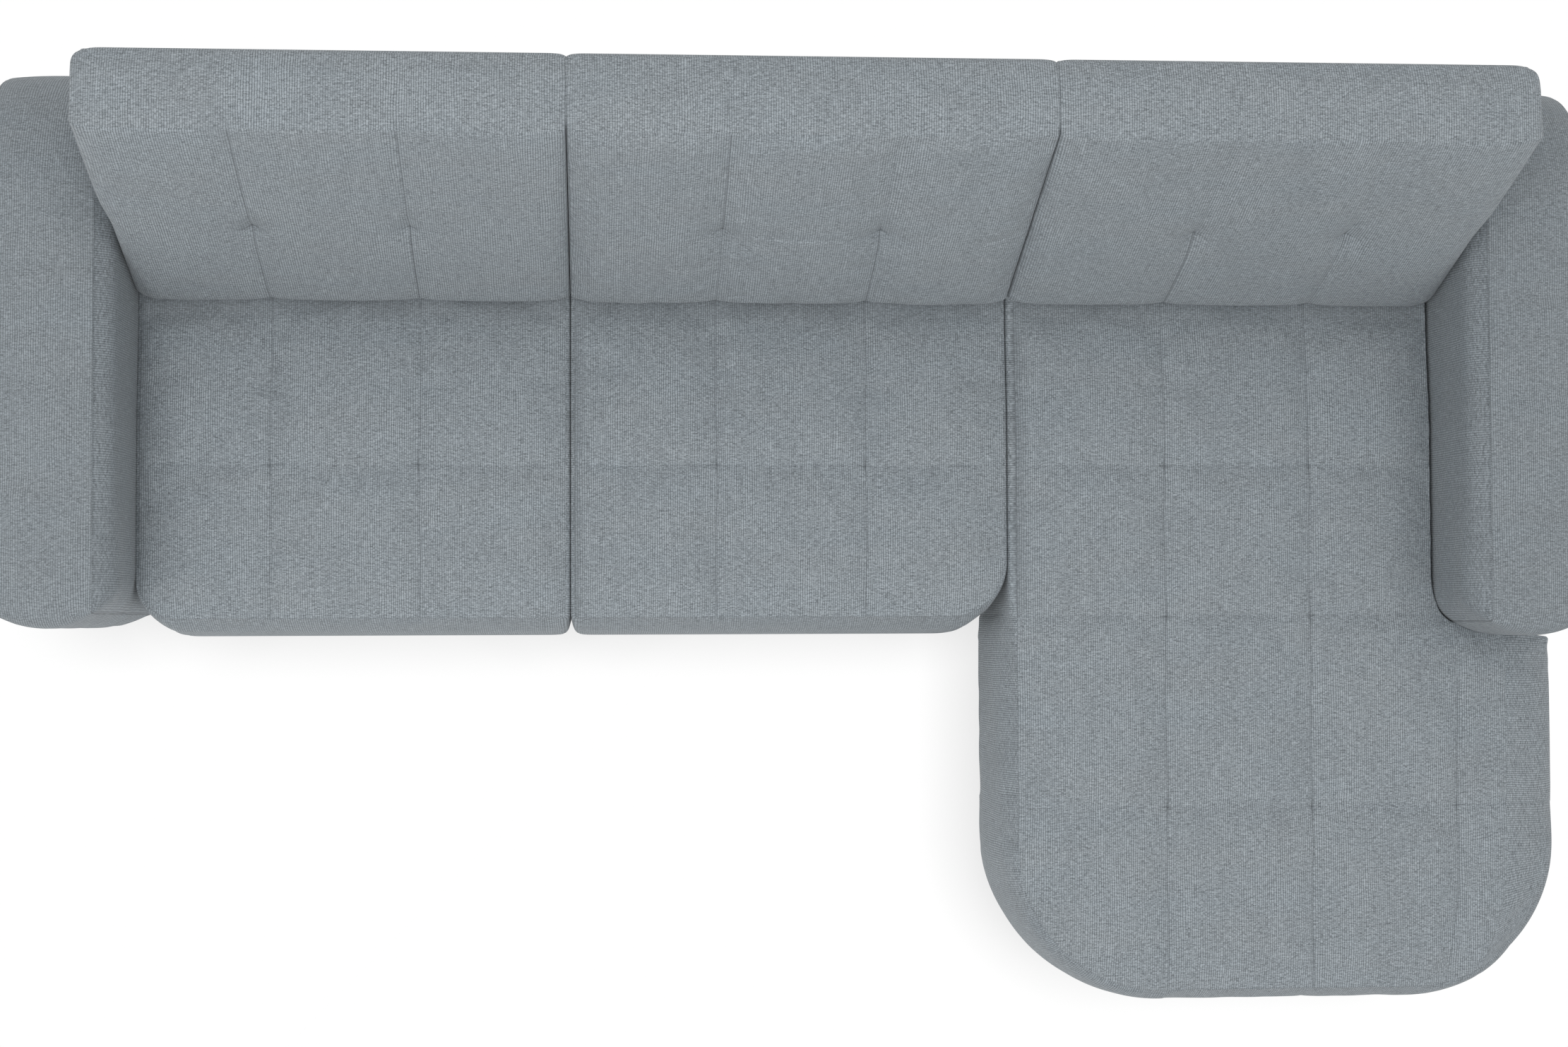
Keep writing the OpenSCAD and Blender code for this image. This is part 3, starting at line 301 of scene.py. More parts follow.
@dataclass
class Padding:
    """A padded cover, from its block of panels to its finished piece.

    Attributes:
        name: The piece's name.
        node: The solid that it replaces.
        fill: How tight it is filled, from 0 to 1; not used.
        pressure: Pressure that swells the cloth between its seams.
        slack: Share by which the cloth is larger than its seams.
        frames: Steps of the simulation.
        reach: Farthest that the swelling may move a point whose cloth faces up or down.
        side_reach: The same where the cloth faces sideways.
        painted_shade: Painted shade: how far the cloth's colour is drawn towards the dark yarn's colour.
    """

    name: str
    node: str
    fill: float = 0.75
    pressure: float = 1.2
    slack: float = 0.012
    frames: int = 20
    reach: float = 0.010
    side_reach: float = 0.002
    painted_shade: float = 0.0

    def rows(self) -> Cloth:
        """The block of panels, with its rows at the seams."""
        raise NotImplementedError

    def form(self, raw: Vector) -> Vector:
        """Where a point of the block lies on the padded form."""
        raise NotImplementedError

    def seam(self, raw: Vector) -> float:
        """How clearly a seam shows at a point of the block, and 0 beside it."""
        raise NotImplementedError

    def held(self, raw: Vector) -> bool:
        """Whether the frame, a neighbour or a seam holds a point of the block in place."""
        raise NotImplementedError

    def shade(self, raw: Vector) -> float:
        """How much painted shade darkens the cloth at a point of the block."""
        return self.painted_shade

    def flat(self, panel: Panel, raw: Vector, placed: Vector) -> tuple[float, float]:
        """Where a point lies on its flat piece of cloth, in metres across and along the ribs.

        Args:
            panel: The panel.
            raw: The point on the block.
            placed: The point on the padded form.

        Returns:
            Its place on the flat cloth.
        """
        if panel in (Panel.TOP, Panel.BOTTOM):
            return placed.x, placed.y
        return (raw.x if panel in (Panel.FRONT, Panel.REAR) else raw.y), raw.z

    def build(self, finish: bpy.types.Material) -> bpy.types.Object:
        """Makes the cover, swells it and hands it to the frame.

        Args:
            finish: The cloth's material.

        Returns:
            The finished piece.
        """
        cloth = self.rows()
        cloth.block()
        cloth.settle()
        bm = cloth.mesh
        raws = [vert.co.copy() for vert in bm.verts]
        panels = [cloth.panel(face) for face in bm.faces]
        seam = bm.verts.layers.float.new("seam")
        # Painted shade at each point, which the material mixes towards the dark yarn's colour
        painted_shade = bm.verts.layers.float.new("painted_shade")
        held = bm.verts.layers.deform.verify()
        uv = bm.loops.layers.uv.new("cloth")
        for vert, raw in zip(bm.verts, raws):
            vert[seam] = self.seam(raw)
            vert[painted_shade] = self.shade(raw)
            vert[held][0] = 1.0 if self.held(raw) else 0.0
            vert.co = self.form(raw)
        for face, panel in zip(bm.faces, panels):
            face.smooth = True
            for loop in face.loops:
                loop[uv].uv = self.flat(panel, raws[loop.vert.index], loop.vert.co)
        bmesh.ops.recalc_face_normals(bm, faces=bm.faces)
        mesh = bpy.data.meshes.new(self.name)
        bm.to_mesh(mesh)
        bm.free()
        piece = bpy.data.objects.new(self.name, mesh)
        piece.vertex_groups.new(name="held")
        bpy.context.scene.collection.objects.link(piece)
        mesh.materials.append(finish)
        if self.pressure > 0.0:
            self.swell(piece)
        finer = piece.modifiers.new("finer", "SUBSURF")
        finer.levels = finer.render_levels = 1
        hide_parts(self.node)
        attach(piece, "root")
        log.info("%s: %d faces", self.name, len(mesh.polygons))
        return piece

    def swell(self, piece: bpy.types.Object) -> None:
        """Simulates the cloth under the pressure of its filling and keeps the result, within reach.

        Args:
            piece: The cover, with its seams and held places in the group named held.
        """
        scene = bpy.context.scene
        rest = [(vert.co.copy(), abs(vert.normal.z)) for vert in piece.data.vertices]
        modifier = piece.modifiers.new("swell", "CLOTH")
        settings = modifier.settings
        settings.use_pressure = True
        settings.uniform_pressure_force = self.pressure
        settings.effector_weights.gravity = 0.0
        settings.vertex_group_mass = "held"
        settings.pin_stiffness = 1.0
        settings.shrink_min = -self.slack
        settings.quality = 6
        settings.mass = 0.35
        settings.tension_stiffness = settings.compression_stiffness = 40.0
        settings.shear_stiffness = 12.0
        settings.bending_stiffness = 0.6
        modifier.collision_settings.use_collision = False
        modifier.point_cache.frame_start = 1
        modifier.point_cache.frame_end = self.frames
        for number in range(1, self.frames + 1):
            scene.frame_set(number)
        graph = bpy.context.evaluated_depsgraph_get()
        swollen = [vert.co.copy() for vert in piece.evaluated_get(graph).data.vertices]
        piece.modifiers.remove(modifier)
        scene.frame_set(1)
        for vert, (start, upward), end in zip(piece.data.vertices, rest, swollen):
            way = end - start
            reach = blend(self.side_reach, self.reach, smooth((upward - 0.2) / 0.6))
            vert.co = start + way * min(1.0, reach / max(way.length, 1e-9))


@dataclass
class Seat(Padding):
    """A seat unit's cover: a sewn top over a border that swells out.

    Attributes:
        left: The top's left seam.
        right: The top's right seam beside the arm or the next unit.
        far: The top's rightmost edge, which differs from right on the chaise.
        front: The top's front seam.
        rear: The top's rear seam, under the back.
        heel: Where the backs' foot stands.
        top: Height of the front seam.
        top_rear: Height where the back stands.
        foot: Height of the underside.
        level: How far in front of the backs' foot the top stays at that height.
        slope: Distance over which it then rises to its full height.
        left_r: Radius of the left front corner.
        right_r: Radius of the right front corner.
        sharp_r: Radius of the chaise's corner beside the arm.
        channels: Places of the seams that run to the front.
        extra: Place of the seam that runs only in front of the arm, or None.
        extra_start: How far in front of the notch that seam starts.
        crossings: Places of the seams that run across.
        notch_y: Where the wide part of the chaise ends, or None.
        free_left: Where the left side stands free, in front of this place.
        turn: Place across past which the top is cut in one with the free right side, or None.
        shoulder: How far the top falls towards that side.
        crown: How far the top rises above its seams.
        crown_reach: Distance from the edge over which it rises.
        bulge: How far the border swells out past them.
        right_bulge: The same on a free right side.
        closed_bulge: The same beside a neighbour.
        roll: Height over which the cloth rolls into the gap beside a neighbour.
        depth: Depth of a sewn channel.
        half_width: Half width of a sewn channel.
        drift: How far the seams wander from a straight line.
        step: Widest distance between the rows of the top.
        front_painted_shade: Painted shade on the front border, which darkens it below the top of the same
            cloth.
        painted_contact_shade: Painted shadow on the top under and just in front of the foot of the back, and
            along the left seam beside the arm or the neighbour.
        border: The border's swell, as (share of the way down, share of the bulge).
        hug: The edge round the arm's front, as (how far behind the wide part, how far out).
        hug_turn: Where on it the edge turns from the side to the front.
    """

    left: float = 0.0
    right: float = 1.0
    far: float = 1.0
    front: float = 0.0
    rear: float = 1.0
    heel: float = 0.0
    top: float = 0.44
    top_rear: float = 0.428
    foot: float = 0.106
    level: float = 0.02
    slope: float = 0.18
    left_r: float = 0.006
    right_r: float = 0.006
    sharp_r: float = 0.007
    channels: tuple[float, ...] = ()
    extra: float | None = None
    extra_start: float = 0.07
    crossings: tuple[float, ...] = ()
    notch_y: float | None = None
    free_left: float | None = None
    turn: float | None = None
    shoulder: float = 0.022
    crown: float = 0.012
    crown_reach: float = 0.09
    bulge: float = 0.026
    right_bulge: float = 0.026
    closed_bulge: float = 0.0069
    roll: float = 0.009
    depth: float = 0.0045
    half_width: float = 0.014
    drift: float = 0.0013
    step: float = ROW
    reach: float = 0.005
    front_painted_shade: float = 0.15
    painted_contact_shade: float = 0.32
    border: Profile = ((0.0, 0.0), (0.03, 0.32), (0.12, 0.68), (0.33, 0.92), (0.57, 1.0), (0.86, 0.72),
                       (1.0, 0.1))
    hug: Profile = ((0.004, 0.118), (0.009, 0.070), (0.014, 0.054), (0.020, 0.040), (0.025, 0.031),
                    (0.031, 0.022), (0.040, 0.0135), (0.060, 0.0055), (0.085, 0.001), (0.110, 0.0))
    hug_turn: float = 0.022

    @property
    def border_h(self) -> float:
        """Height of the border, from the underside to the front seam."""
        return self.top - self.foot

    def rows(self) -> Cloth:
        """Lays the block's rows at the seams.

        Returns:
            The block of panels.
        """
        seams_x = [*self.channels, *(place for place in (self.extra, self.turn) if place)]
        seams_y = [*self.crossings]
        if self.notch_y:
            seams_x.append(self.right)
            seams_y.append(self.notch_y)
        xs = cuts(self.left, self.far, seams_x, self.step)
        ys = cuts(self.front, self.rear, seams_y, self.step)
        zs = cuts(0.0, self.border_h, [], beside=(0.0015, 0.004, 0.008))
        notch = (self.right, self.notch_y) if self.notch_y else None
        return Cloth(xs, ys, zs, notch, self.turn)

    def corners(self) -> list[Corner]:
        """The two front corners."""
        return [Corner(self.left, self.front, self.left_r, -1, -1),
                Corner(self.far, self.front, self.right_r, 1, -1)]

    def plan(self, x: float, y: float) -> tuple[float, float]:
        """Rounds the plan's front corners, and the chaise's corner beside the arm.

        Args:
            x: Place across, on the block.
            y: Place in depth.

        Returns:
            The place on the rounded plan.
        """
        corners = self.corners()
        if self.notch_y:
            corners.append(Corner(self.far, self.notch_y, self.sharp_r, 1, 1))
        for corner in corners:
            if corner.holds(x, y):
                return corner.round_off(x, y)
        return x, y

    def from_notch(self, x: float, y: float) -> float:
        """Distance of a point from the notch's inner corner and the edges that meet there."""
        return math.hypot(max(0.0, self.right - x), max(0.0, self.notch_y - y))

    def beside_arm(self, x: float, y: float) -> tuple[float, float]:
        """Draws the edge of the plan out to the arm's rounded front corner.

        Args:
            x: Place across, on the rounded plan.
            y: Place in depth.

        Returns:
            The place that it is drawn to.
        """
        if not self.notch_y:
            return x, y
        end, most = self.hug[-1][0], self.hug[0][1]
        share = (1.0 - min(1.0, self.from_notch(x, y) / end)) ** 2
        if x > self.right and y <= self.notch_y:
            least = follow(self.hug, self.hug_turn)
            past = x - self.right
            out = least + past * (most - least) / most
            outward = [(out_there, behind) for behind, out_there in reversed(self.hug)]
            fade = smooth((self.far - x) / 0.05)
            aside = (out - past) * share if out < most else 0.0
            return x + aside, y + follow(outward, out) * share * fade
        behind = max(0.0, y - self.notch_y)
        if behind > end:
            return x, y
        place = blend(self.hug_turn, end, behind / end)
        return x + follow(self.hug, place) * share, y + (place - behind) * share

    def outward(self, x: float, y: float) -> tuple[float, float]:
        """Finds the level direction that faces out of the plan at a point on its edge.

        Args:
            x: Place across, on the block.
            y: Place in depth.

        Returns:
            The direction across and in depth.
        """
        edges = [(self.left - x, -1, 0), (x - self.far, 1, 0),
                 (self.front - y, 0, -1), (y - self.rear, 0, 1)]
        if self.notch_y and y >= self.notch_y - NEAR:
            edges[1] = (x - self.right, 1, 0)
            if x >= self.right - NEAR:
                edges.append((y - self.notch_y, 0, 1))
        for corner in self.corners():
            if corner.holds(x, y):
                s, t = corner.arc(x, y)
                size = max(1e-9, math.hypot(s, t))
                return corner.way_x * s / size, corner.way_y * t / size
        _, out_x, out_y = max(edges)
        return out_x, out_y

    def free(self, x: float, y: float) -> float:
        """Tells how free a side stands at a point, with nothing beside it.

        Args:
            x: Place across, on the block.
            y: Place in depth.

        Returns:
            The share of the border's swell that it has there.
        """
        if self.free_left is None:
            return 0.0
        if x > self.right:
            return smooth((self.notch_y - y) / 0.04)
        return smooth((self.free_left - y) / 0.09) if x < self.left + self.left_r + 0.01 else 0.0

    def inside(self, x: float, y: float) -> float:
        """Measures how far inside the top's seams a point lies, for the crown.

        Args:
            x: Place across, on the block.
            y: Place in depth.

        Returns:
            The distance to the nearest edge, and 0 on it and under the back.
        """
        plan_x, plan_y = self.plan(x, y)
        distance = min(x - self.left, self.far - x, y - self.front, max(0.0, self.heel - self.level - y))
        if self.notch_y:
            distance = min(distance, self.from_notch(x, y))
        for corner in self.corners():
            if corner.holds(plan_x, plan_y):
                distance = min(distance, corner.r * (1.0 - math.hypot(*corner.share(plan_x, plan_y))))
        return max(0.0, distance)

    def groove(self, distance: float) -> float:
        """How deep a channel is at a distance from its seam, from 1 at the seam to 0."""
        return (1.0 - min(1.0, abs(distance) / self.half_width)) ** 1.6

    def height(self, x: float, y: float) -> float:
        """Finds the height of the sewn top, with its slope, crown, channels and shoulder.

        Args:
            x: Place across, on the block.
            y: Place in depth.

        Returns:
            The height there.
        """
        base = blend(self.top_rear, self.top, smooth((self.heel - self.level - y) / self.slope))
        inside = self.inside(x, y)
        swell = self.crown * (1.0 - (1.0 - min(1.0, inside / self.crown_reach)) ** 2.4)
        fade = smooth((inside - 0.002) / 0.03)
        along = max(self.groove(x - c) for c in self.channels)
        fall = 0.0
        if self.extra:
            clear = smooth((self.notch_y - self.extra_start - 0.002 - y) / 0.03)
            along = max(along, self.groove(x - self.extra) * clear)
            start = self.extra + 0.06
            fall = (max(0.0, x - start) / (self.far - start)) ** 2
        across = max(self.groove(y - c) for c in self.crossings)
        sewn = self.depth * fade * (max(along, 0.6 * across) + 0.5 * along * across)
        return base + swell - sewn - self.shoulder * fall

    def form(self, raw: Vector) -> Vector:
        """Finds where a point of the block lies on the padded form.

        Args:
            raw: The point of the block.

        Returns:
            Its place.
        """
        x, y = self.beside_arm(*self.plan(raw.x, raw.y))
        if raw.z > self.border_h - NEAR:
            aside = self.drift * (math.sin(23.0 * y + 7.0 * x) + 0.6 * math.sin(67.0 * y + 2.0))
            ahead = self.drift * math.sin(31.0 * x + 5.0 * y)
            fade = smooth(self.inside(raw.x, raw.y) / 0.05)
            return Vector((x + aside * fade, y + ahead * fade, self.height(raw.x, raw.y)))
        if raw.z < NEAR and not self.on_edge(raw):
            return Vector((x, y, self.foot))
        down = 1.0 - raw.z / self.border_h
        swell = follow(self.border, down)
        out_x, out_y = self.outward(raw.x, raw.y)
        rolled = 1.0 - min(1.0, (self.border_h - raw.z) / self.roll)
        closed = self.closed_bulge * math.sqrt(1.0 - rolled * rolled) * smooth((1.0 - down) / 0.06)
        full = self.right_bulge if out_x > 0.0 else self.bulge
        side = blend(closed, full * swell, self.free(raw.x, raw.y))
        front = self.bulge * swell if out_y < 0 else 0.0
        z = blend(self.height(raw.x, raw.y), self.foot, down)
        return Vector((x + out_x * side, y + out_y * front, z))

    def on_edge(self, raw: Vector) -> bool:
        """Tells whether a point of the block lies on the outline of its plan.

        Args:
            raw: The point of the block.

        Returns:
            Whether it does.
        """
        if self.notch_y and raw.y >= self.notch_y - NEAR:
            if abs(raw.x - self.right) < NEAR:
                return True
            if raw.x > self.right and abs(raw.y - self.notch_y) < NEAR:
                return True
        return min(raw.x - self.left, self.far - raw.x, raw.y - self.front, self.rear - raw.y) < NEAR

    def seam(self, raw: Vector) -> float:
        """Tells how clearly a seam shows, most where two cross.

        Args:
            raw: The point of the block.

        Returns:
            1 for a black line, and 0 beside the seams.
        """
        if raw.z < self.border_h - NEAR:
            return 0.0
        if self.turn and raw.x > self.turn - NEAR:
            return 0.12 if raw.x < self.turn + NEAR or raw.y < self.front + NEAR else 0.0
        if self.on_edge(raw):
            return 0.42 if raw.y < self.front + NEAR else 0.3
        to_line = min(abs(raw.x - c) for c in self.channels)
        if self.extra and raw.y < self.notch_y - self.extra_start:
            to_line = min(to_line, abs(raw.x - self.extra))
        to_crossing = min(abs(raw.y - c) for c in self.crossings)
        if to_line < NEAR:
            return 0.5 + 0.45 * max(0.0, 1.0 - to_crossing / 0.02)
        if to_crossing < NEAR:
            return 0.12 + 0.7 * max(0.0, 1.0 - to_line / 0.02)
        return 0.0

    def shade(self, raw: Vector) -> float:
        """Tells how much painted shade darkens the cloth: on the front border, and as a painted shadow under
        the foot of the back and along the left seam.

        Args:
            raw: The point of the block.

        Returns:
            The share of the dark yarn's colour.
        """
        if raw.z < self.border_h - NEAR:
            # Painted shade on the front border
            return self.front_painted_shade if self.outward(raw.x, raw.y)[1] < -0.3 else 0.0
        # Painted shadow along the left seam where the side isn't free, and under and just in front of the
        # foot of the back
        beside = (1.0 - smooth((raw.x - self.left) / 0.016)) * (1.0 - self.free(raw.x, raw.y))
        return self.painted_contact_shade * max(beside, smooth((raw.y - self.heel + 0.026) / 0.018))

    def held(self, raw: Vector) -> bool:
        """Tells whether the frame, a neighbour or a seam holds a point in place.

        Args:
            raw: The point of the block.

        Returns:
            Whether it is held.
        """
        if raw.z < 0.02 or raw.y > self.heel + 0.03:
            return True
        if raw.z < self.border_h - NEAR:
            out_x, _ = self.outward(raw.x, raw.y)
            return abs(out_x) > 0.7 and self.free(raw.x, raw.y) < 0.5
        return self.seam(raw) > 0.0

    def flat(self, panel: Panel, raw: Vector, placed: Vector) -> tuple[float, float]:
        """Finds where a point lies on its flat piece of cloth, with the ribs running on round the corners.

        Args:
            panel: The panel.
            raw: The point of the block.
            placed: The point on the padded form.

        Returns:
            Its place in metres, across and along the ribs.
        """
        if panel in (Panel.TOP, Panel.BOTTOM):
            return placed.x, placed.y
        facing = panel in (Panel.FRONT, Panel.REAR)
        along = raw.x if facing else raw.y
        for corner in self.corners():
            edge, way = (corner.x, corner.way_x) if facing else (corner.y, corner.way_y)
            past = 1.0 - (edge - along) * way / corner.r
            mine = panel in (Panel.FRONT, {-1: Panel.LEFT, 1: Panel.RIGHT}[corner.way_x])
            if mine and past > 0.0:
                along = edge + way * corner.r * (math.asin(min(1.0, past) / math.sqrt(2.0)) - 1.0)
        up = raw.z
        if panel is Panel.RIGHT and self.turn and raw.z > self.border_h - NEAR:
            up += self.far - raw.x
        return along, up


@dataclass
class Back(Padding):
    """A leaning back's cover: a tufted front, a top panel and rounded ends.

    Attributes:
        left: Its left side.
        right: Its right side.
        heel: Where its front face meets the seat, in depth.
        foot: Height of its foot.
        top: Height of the top's front seam.
        lean: How far the front leans to the rear over its height.
        top_depth: Depth of the top panel.
        drop: How much lower the top's rear edge lies.
        rear_slope: How far the rear runs out over the height of the cover.
        panel: How far the top rolls out over the rear face, past the outside back.
        crown: How far the front swells out.
        top_crown: How far the top panel swells up.
        quilt: How far the front swells out between the seams.
        tuck: How far its foot is tucked under.
        channels: Places of the seams and tufts across.
        seams_up: How clearly each seam shows above its tuft.
        seams_down: How clearly it shows below.
        tuft: Height of the tufts.
        tuft_r: Radius of the dent round a tuft.
        tuft_depth: Depth of a tuft.
        crease: Depth of the creases round it.
        seam_depth: Depth of a seam.
        half_width: Half width of a seam's channel.
        ends: Radius of the left and right ends; a wide one stands free above an arm.
        wide: Radius from which an end stands free, while narrower ones close on their neighbour.
        overlap: How far the top of an end that closes runs into the gap.
        overhang: How far a free end bulges over its arm.
        arm_top: Height of the arm.
        top_r: Radius of the roll over the rear.
    """

    left: float = 0.0
    right: float = 1.0
    heel: float = 0.0
    foot: float = 0.4283
    top: float = 0.926
    lean: float = 0.179
    top_depth: float = 0.118
    drop: float = 0.008
    rear_slope: float = 0.0267
    panel: float = 0.008
    crown: float = 0.012
    top_crown: float = 0.006
    quilt: float = 0.003
    tuck: float = 0.016
    channels: tuple[float, ...] = ()
    seams_up: tuple[float, ...] = (0.3, 0.2)
    seams_down: tuple[float, ...] = (0.8, 0.3)
    tuft: float = 0.664
    tuft_r: float = 0.06
    tuft_depth: float = 0.013
    crease: float = 0.0022
    seam_depth: float = 0.003
    half_width: float = 0.022
    ends: tuple[float, float] = (0.010, 0.010)
    wide: float = 0.015
    overlap: float = 0.0009
    overhang: float = 0.008
    arm_top: float = 0.62
    top_r: float = 0.026
    reach: float = 0.006
    side_reach: float = 0.006

    @property
    def tall(self) -> float:
        """Height from the foot to the top's front seam."""
        return self.top - self.foot

    def rows(self) -> Cloth:
        """Lays the block's rows at the seams and the tufts.

        Returns:
            The block of panels.
        """
        xs = cuts(self.left, self.right, self.channels)
        ys = cuts(0.0, self.top_depth, [])
        zs = cuts(0.0, self.tall, [self.tuft - self.foot, self.tall - self.drop - 0.03])
        return Cloth(xs, ys, zs)

    def front_y(self, up: float) -> float:
        """Depth of the plain front face, a share of the way up."""
        return self.heel + self.lean * up

    def rear_y(self, up: float) -> float:
        """Depth of the plain rear face, a share of the way up."""
        return self.heel + self.lean + self.top_depth - self.panel + self.rear_slope * (1.0 - up)

    def pillow(self, x: float) -> float:
        """Tells how full the padding is between the seams.

        Args:
            x: Place across.

        Returns:
            0 on a seam, rising to 1 halfway between two.
        """
        for low, high in pairwise([self.left, *self.channels, self.right]):
            if x <= high:
                return 1.0 - (2.0 * (x - low) / (high - low) - 1.0) ** 2
        return 0.0

    def swell_out(self, raw: Vector) -> float:
        """Finds how far the front stands out from its plain face.

        Args:
            raw: The point of the block.

        Returns:
            The distance, square to the face.
        """
        up = raw.z / self.tall
        if not 0.0 < up < 1.0:
            return 0.0
        across = min(raw.x - self.left, self.right - raw.x)
        ends = 1.0 - (1.0 - min(1.0, across / 0.05)) ** 2.6
        swell = self.crown * math.sin(math.pi * up ** 0.8) ** 0.6 + self.quilt * self.pillow(raw.x)
        near = max((1.0 - min(1.0, abs(raw.x - c) / self.half_width)) ** 1.5 for c in self.channels)
        return swell * ends - near * self.seam_depth * smooth((1.0 - up) / 0.08) - self.tufted(raw)

    def tufted(self, raw: Vector) -> float:
        """Finds how deep the tufts and the creases round them draw the front in.

        Args:
            raw: The point of the block.

        Returns:
            The depth there.
        """
        dent = 0.0
        for number, channel in enumerate(self.channels):
            way = Vector((raw.x - channel, raw.z + self.foot - self.tuft))
            near = max(0.0, 1.0 - way.length / self.tuft_r)
            angle = math.atan2(way.y, way.x)
            crease = max(0.0, math.cos(2.5 * (angle - 0.7 - number))) ** 4
            ring = near * (1.0 - near) * 4.0
            dent += self.tuft_depth * near ** 2.2 + self.crease * crease * ring
        return dent

    def end(self, x: float) -> tuple[float, float, float]:
        """Finds the nearer end.

        Args:
            x: Place across.

        Returns:
            Its radius, how far inside it the place lies, and the way that it faces.
        """
        if x - self.left < self.right - x:
            return self.ends[0], x - self.left, -1.0
        return self.ends[1], self.right - x, 1.0

    def form(self, raw: Vector) -> Vector:
        """Finds where a point of the block lies on the padded form.

        Args:
            raw: The point of the block.

        Returns:
            Its place.
        """
        up = raw.z / self.tall
        deep = raw.y / self.top_depth
        x, y = raw.x, blend(self.front_y(up), self.rear_y(up), deep)
        z = self.foot + self.tall * up - self.drop * deep * smooth((up - 0.7) / 0.3)
        if raw.y < NEAR:
            out = self.swell_out(raw)
            y += self.tuck * (1.0 - smooth(raw.z / 0.024)) - 0.94 * out
            z += 0.34 * out
        if raw.z > self.tall - NEAR and 0.0 < deep < 1.0:
            z += self.top_crown * math.sin(math.pi * deep) ** 0.8 * (0.4 + 0.6 * self.pillow(raw.x))
        roll = Corner(self.rear_y(1.0) + self.panel, self.top - self.drop, self.top_r, 1, 1)
        y += self.panel * deep * smooth((z - roll.y + self.top_r + 0.004) / 0.004)
        if roll.holds(y, z):
            y, z = roll.round_off(y, z)
        radius, across, way_out = self.end(raw.x)
        if radius < self.wide:
            closed = smooth(deep / 0.2) * smooth((up - 0.85) / 0.12)
            y -= 0.0045 * closed * max(0.0, 1.0 - across / 0.014) ** 2 * smooth((deep - 0.6) / 0.4)
            z -= 0.0012 * closed * max(0.0, 1.0 - across / 0.008) ** 2
            radius = blend(radius, 0.0005, closed)
            x += way_out * self.overlap * closed
        if across < radius:
            share = min(1.0, 1.0 - across / radius)
            draw = 0.7 * radius * (1.0 - math.sqrt(1.0 - share * share))
            middle = Vector((0.0, (self.front_y(up) + self.rear_y(up)) / 2.0,
                             min(self.top - 0.055, max(self.foot + 0.06, z))))
            way = middle - Vector((0.0, y, z))
            if way.length > NEAR:
                moved = way.normalized() * min(way.length, draw)
                y += moved.y
                z += moved.z if raw.z > NEAR else 0.0
            if radius > self.wide:
                x += way_out * self.overhang * share * smooth((z - self.arm_top - 0.02) / 0.09)
        return Vector((x, y, max(self.foot, z)))

    def seam(self, raw: Vector) -> float:
        """Tells how clearly a seam shows, most at the tufts.

        Args:
            raw: The point of the block.

        Returns:
            1 for a black line, and 0 beside the seams.
        """
        on_front = raw.y < NEAR
        at_end = self.end(raw.x)[1] < NEAR
        if raw.z > self.tall - NEAR and (on_front or at_end):
            return 0.16
        if at_end and on_front:
            return 0.2
        if on_front:
            up = raw.z + self.foot - self.tuft
            for channel, above, below in zip(self.channels, self.seams_up, self.seams_down):
                aside = abs(raw.x - channel)
                if aside < NEAR:
                    return max(above if up > 0.0 else below, 1.0 - abs(up) / 0.012)
                if abs(up) < NEAR and aside < self.half_width:
                    return 0.85 * (1.0 - aside / self.half_width)
        return 0.0

    def held(self, raw: Vector) -> bool:
        """Tells whether the frame, a neighbour or a seam holds a point in place.

        Args:
            raw: The point of the block.

        Returns:
            Whether it is held.
        """
        if raw.z < 0.008 or raw.y > self.top_depth - 0.01:
            return True
        return self.end(raw.x)[1] < NEAR or self.seam(raw) > 0.0


@dataclass
class OutsideBack(Padding):
    """The cloth over the thin board that closes a back from behind.

    Attributes:
        low: Its lowest corner.
        high: Its highest corner.
        slope: How far it runs out to the rear over its height.
        thick: Thickness of board and cloth.
        edge: Radius of its edges.
        hem: Height of the hem's seam above the lower edge.
        hem_depth: Depth of that seam.
        full: How far the cloth swells out between its edges.
    """

    low: Vector = field(default_factory=Vector)
    high: Vector = field(default_factory=Vector)
    slope: float = 0.042
    thick: float = 0.0057
    edge: float = 0.004
    hem: float = 0.022
    hem_depth: float = 0.0008
    full: float = 0.0012
    fill: float = 0.9
    pressure: float = 0.0

    def rows(self) -> Cloth:
        """Lays the block's rows at the hem.

        Returns:
            The block of panels.
        """
        step, beside = 0.06, (0.0015, 0.004)
        xs = cuts(self.low.x, self.high.x, [], step, beside)
        ys = cuts(0.0, self.thick, [], 0.003, beside[:1])
        zs = cuts(self.low.z, self.high.z, [self.low.z + self.hem], step, beside)
        return Cloth(xs, ys, zs)

    def form(self, raw: Vector) -> Vector:
        """Finds where a point of the block lies on the finished form.

        Args:
            raw: The point of the block.

        Returns:
            Its place.
        """
        down = (self.high.z - raw.z) / (self.high.z - self.low.z)
        outer = self.high.y - self.slope * (1.0 - down)
        inner = min(raw.x - self.low.x, self.high.x - raw.x, raw.z - self.low.z, self.high.z - raw.z)
        drawn = self.edge * (1.0 - math.sqrt(1.0 - max(0.0, 1.0 - inner / self.edge) ** 2))
        hem = self.hem_depth * max(0.0, 1.0 - abs(raw.z - self.low.z - self.hem) / 0.003)
        deep = raw.y / self.thick
        full = self.full * smooth(inner / 0.08)
        return Vector((raw.x, outer - self.thick + raw.y - deep * (drawn + hem - full), raw.z))

    def seam(self, raw: Vector) -> float:
        """How clearly the hem's seam shows at a point of the block, and 0 beside it."""
        return 0.5 if abs(raw.z - self.low.z - self.hem) < NEAR and raw.y > self.thick - NEAR else 0.0

    def held(self, raw: Vector) -> bool:
        """Every point is held by the board."""
        return True


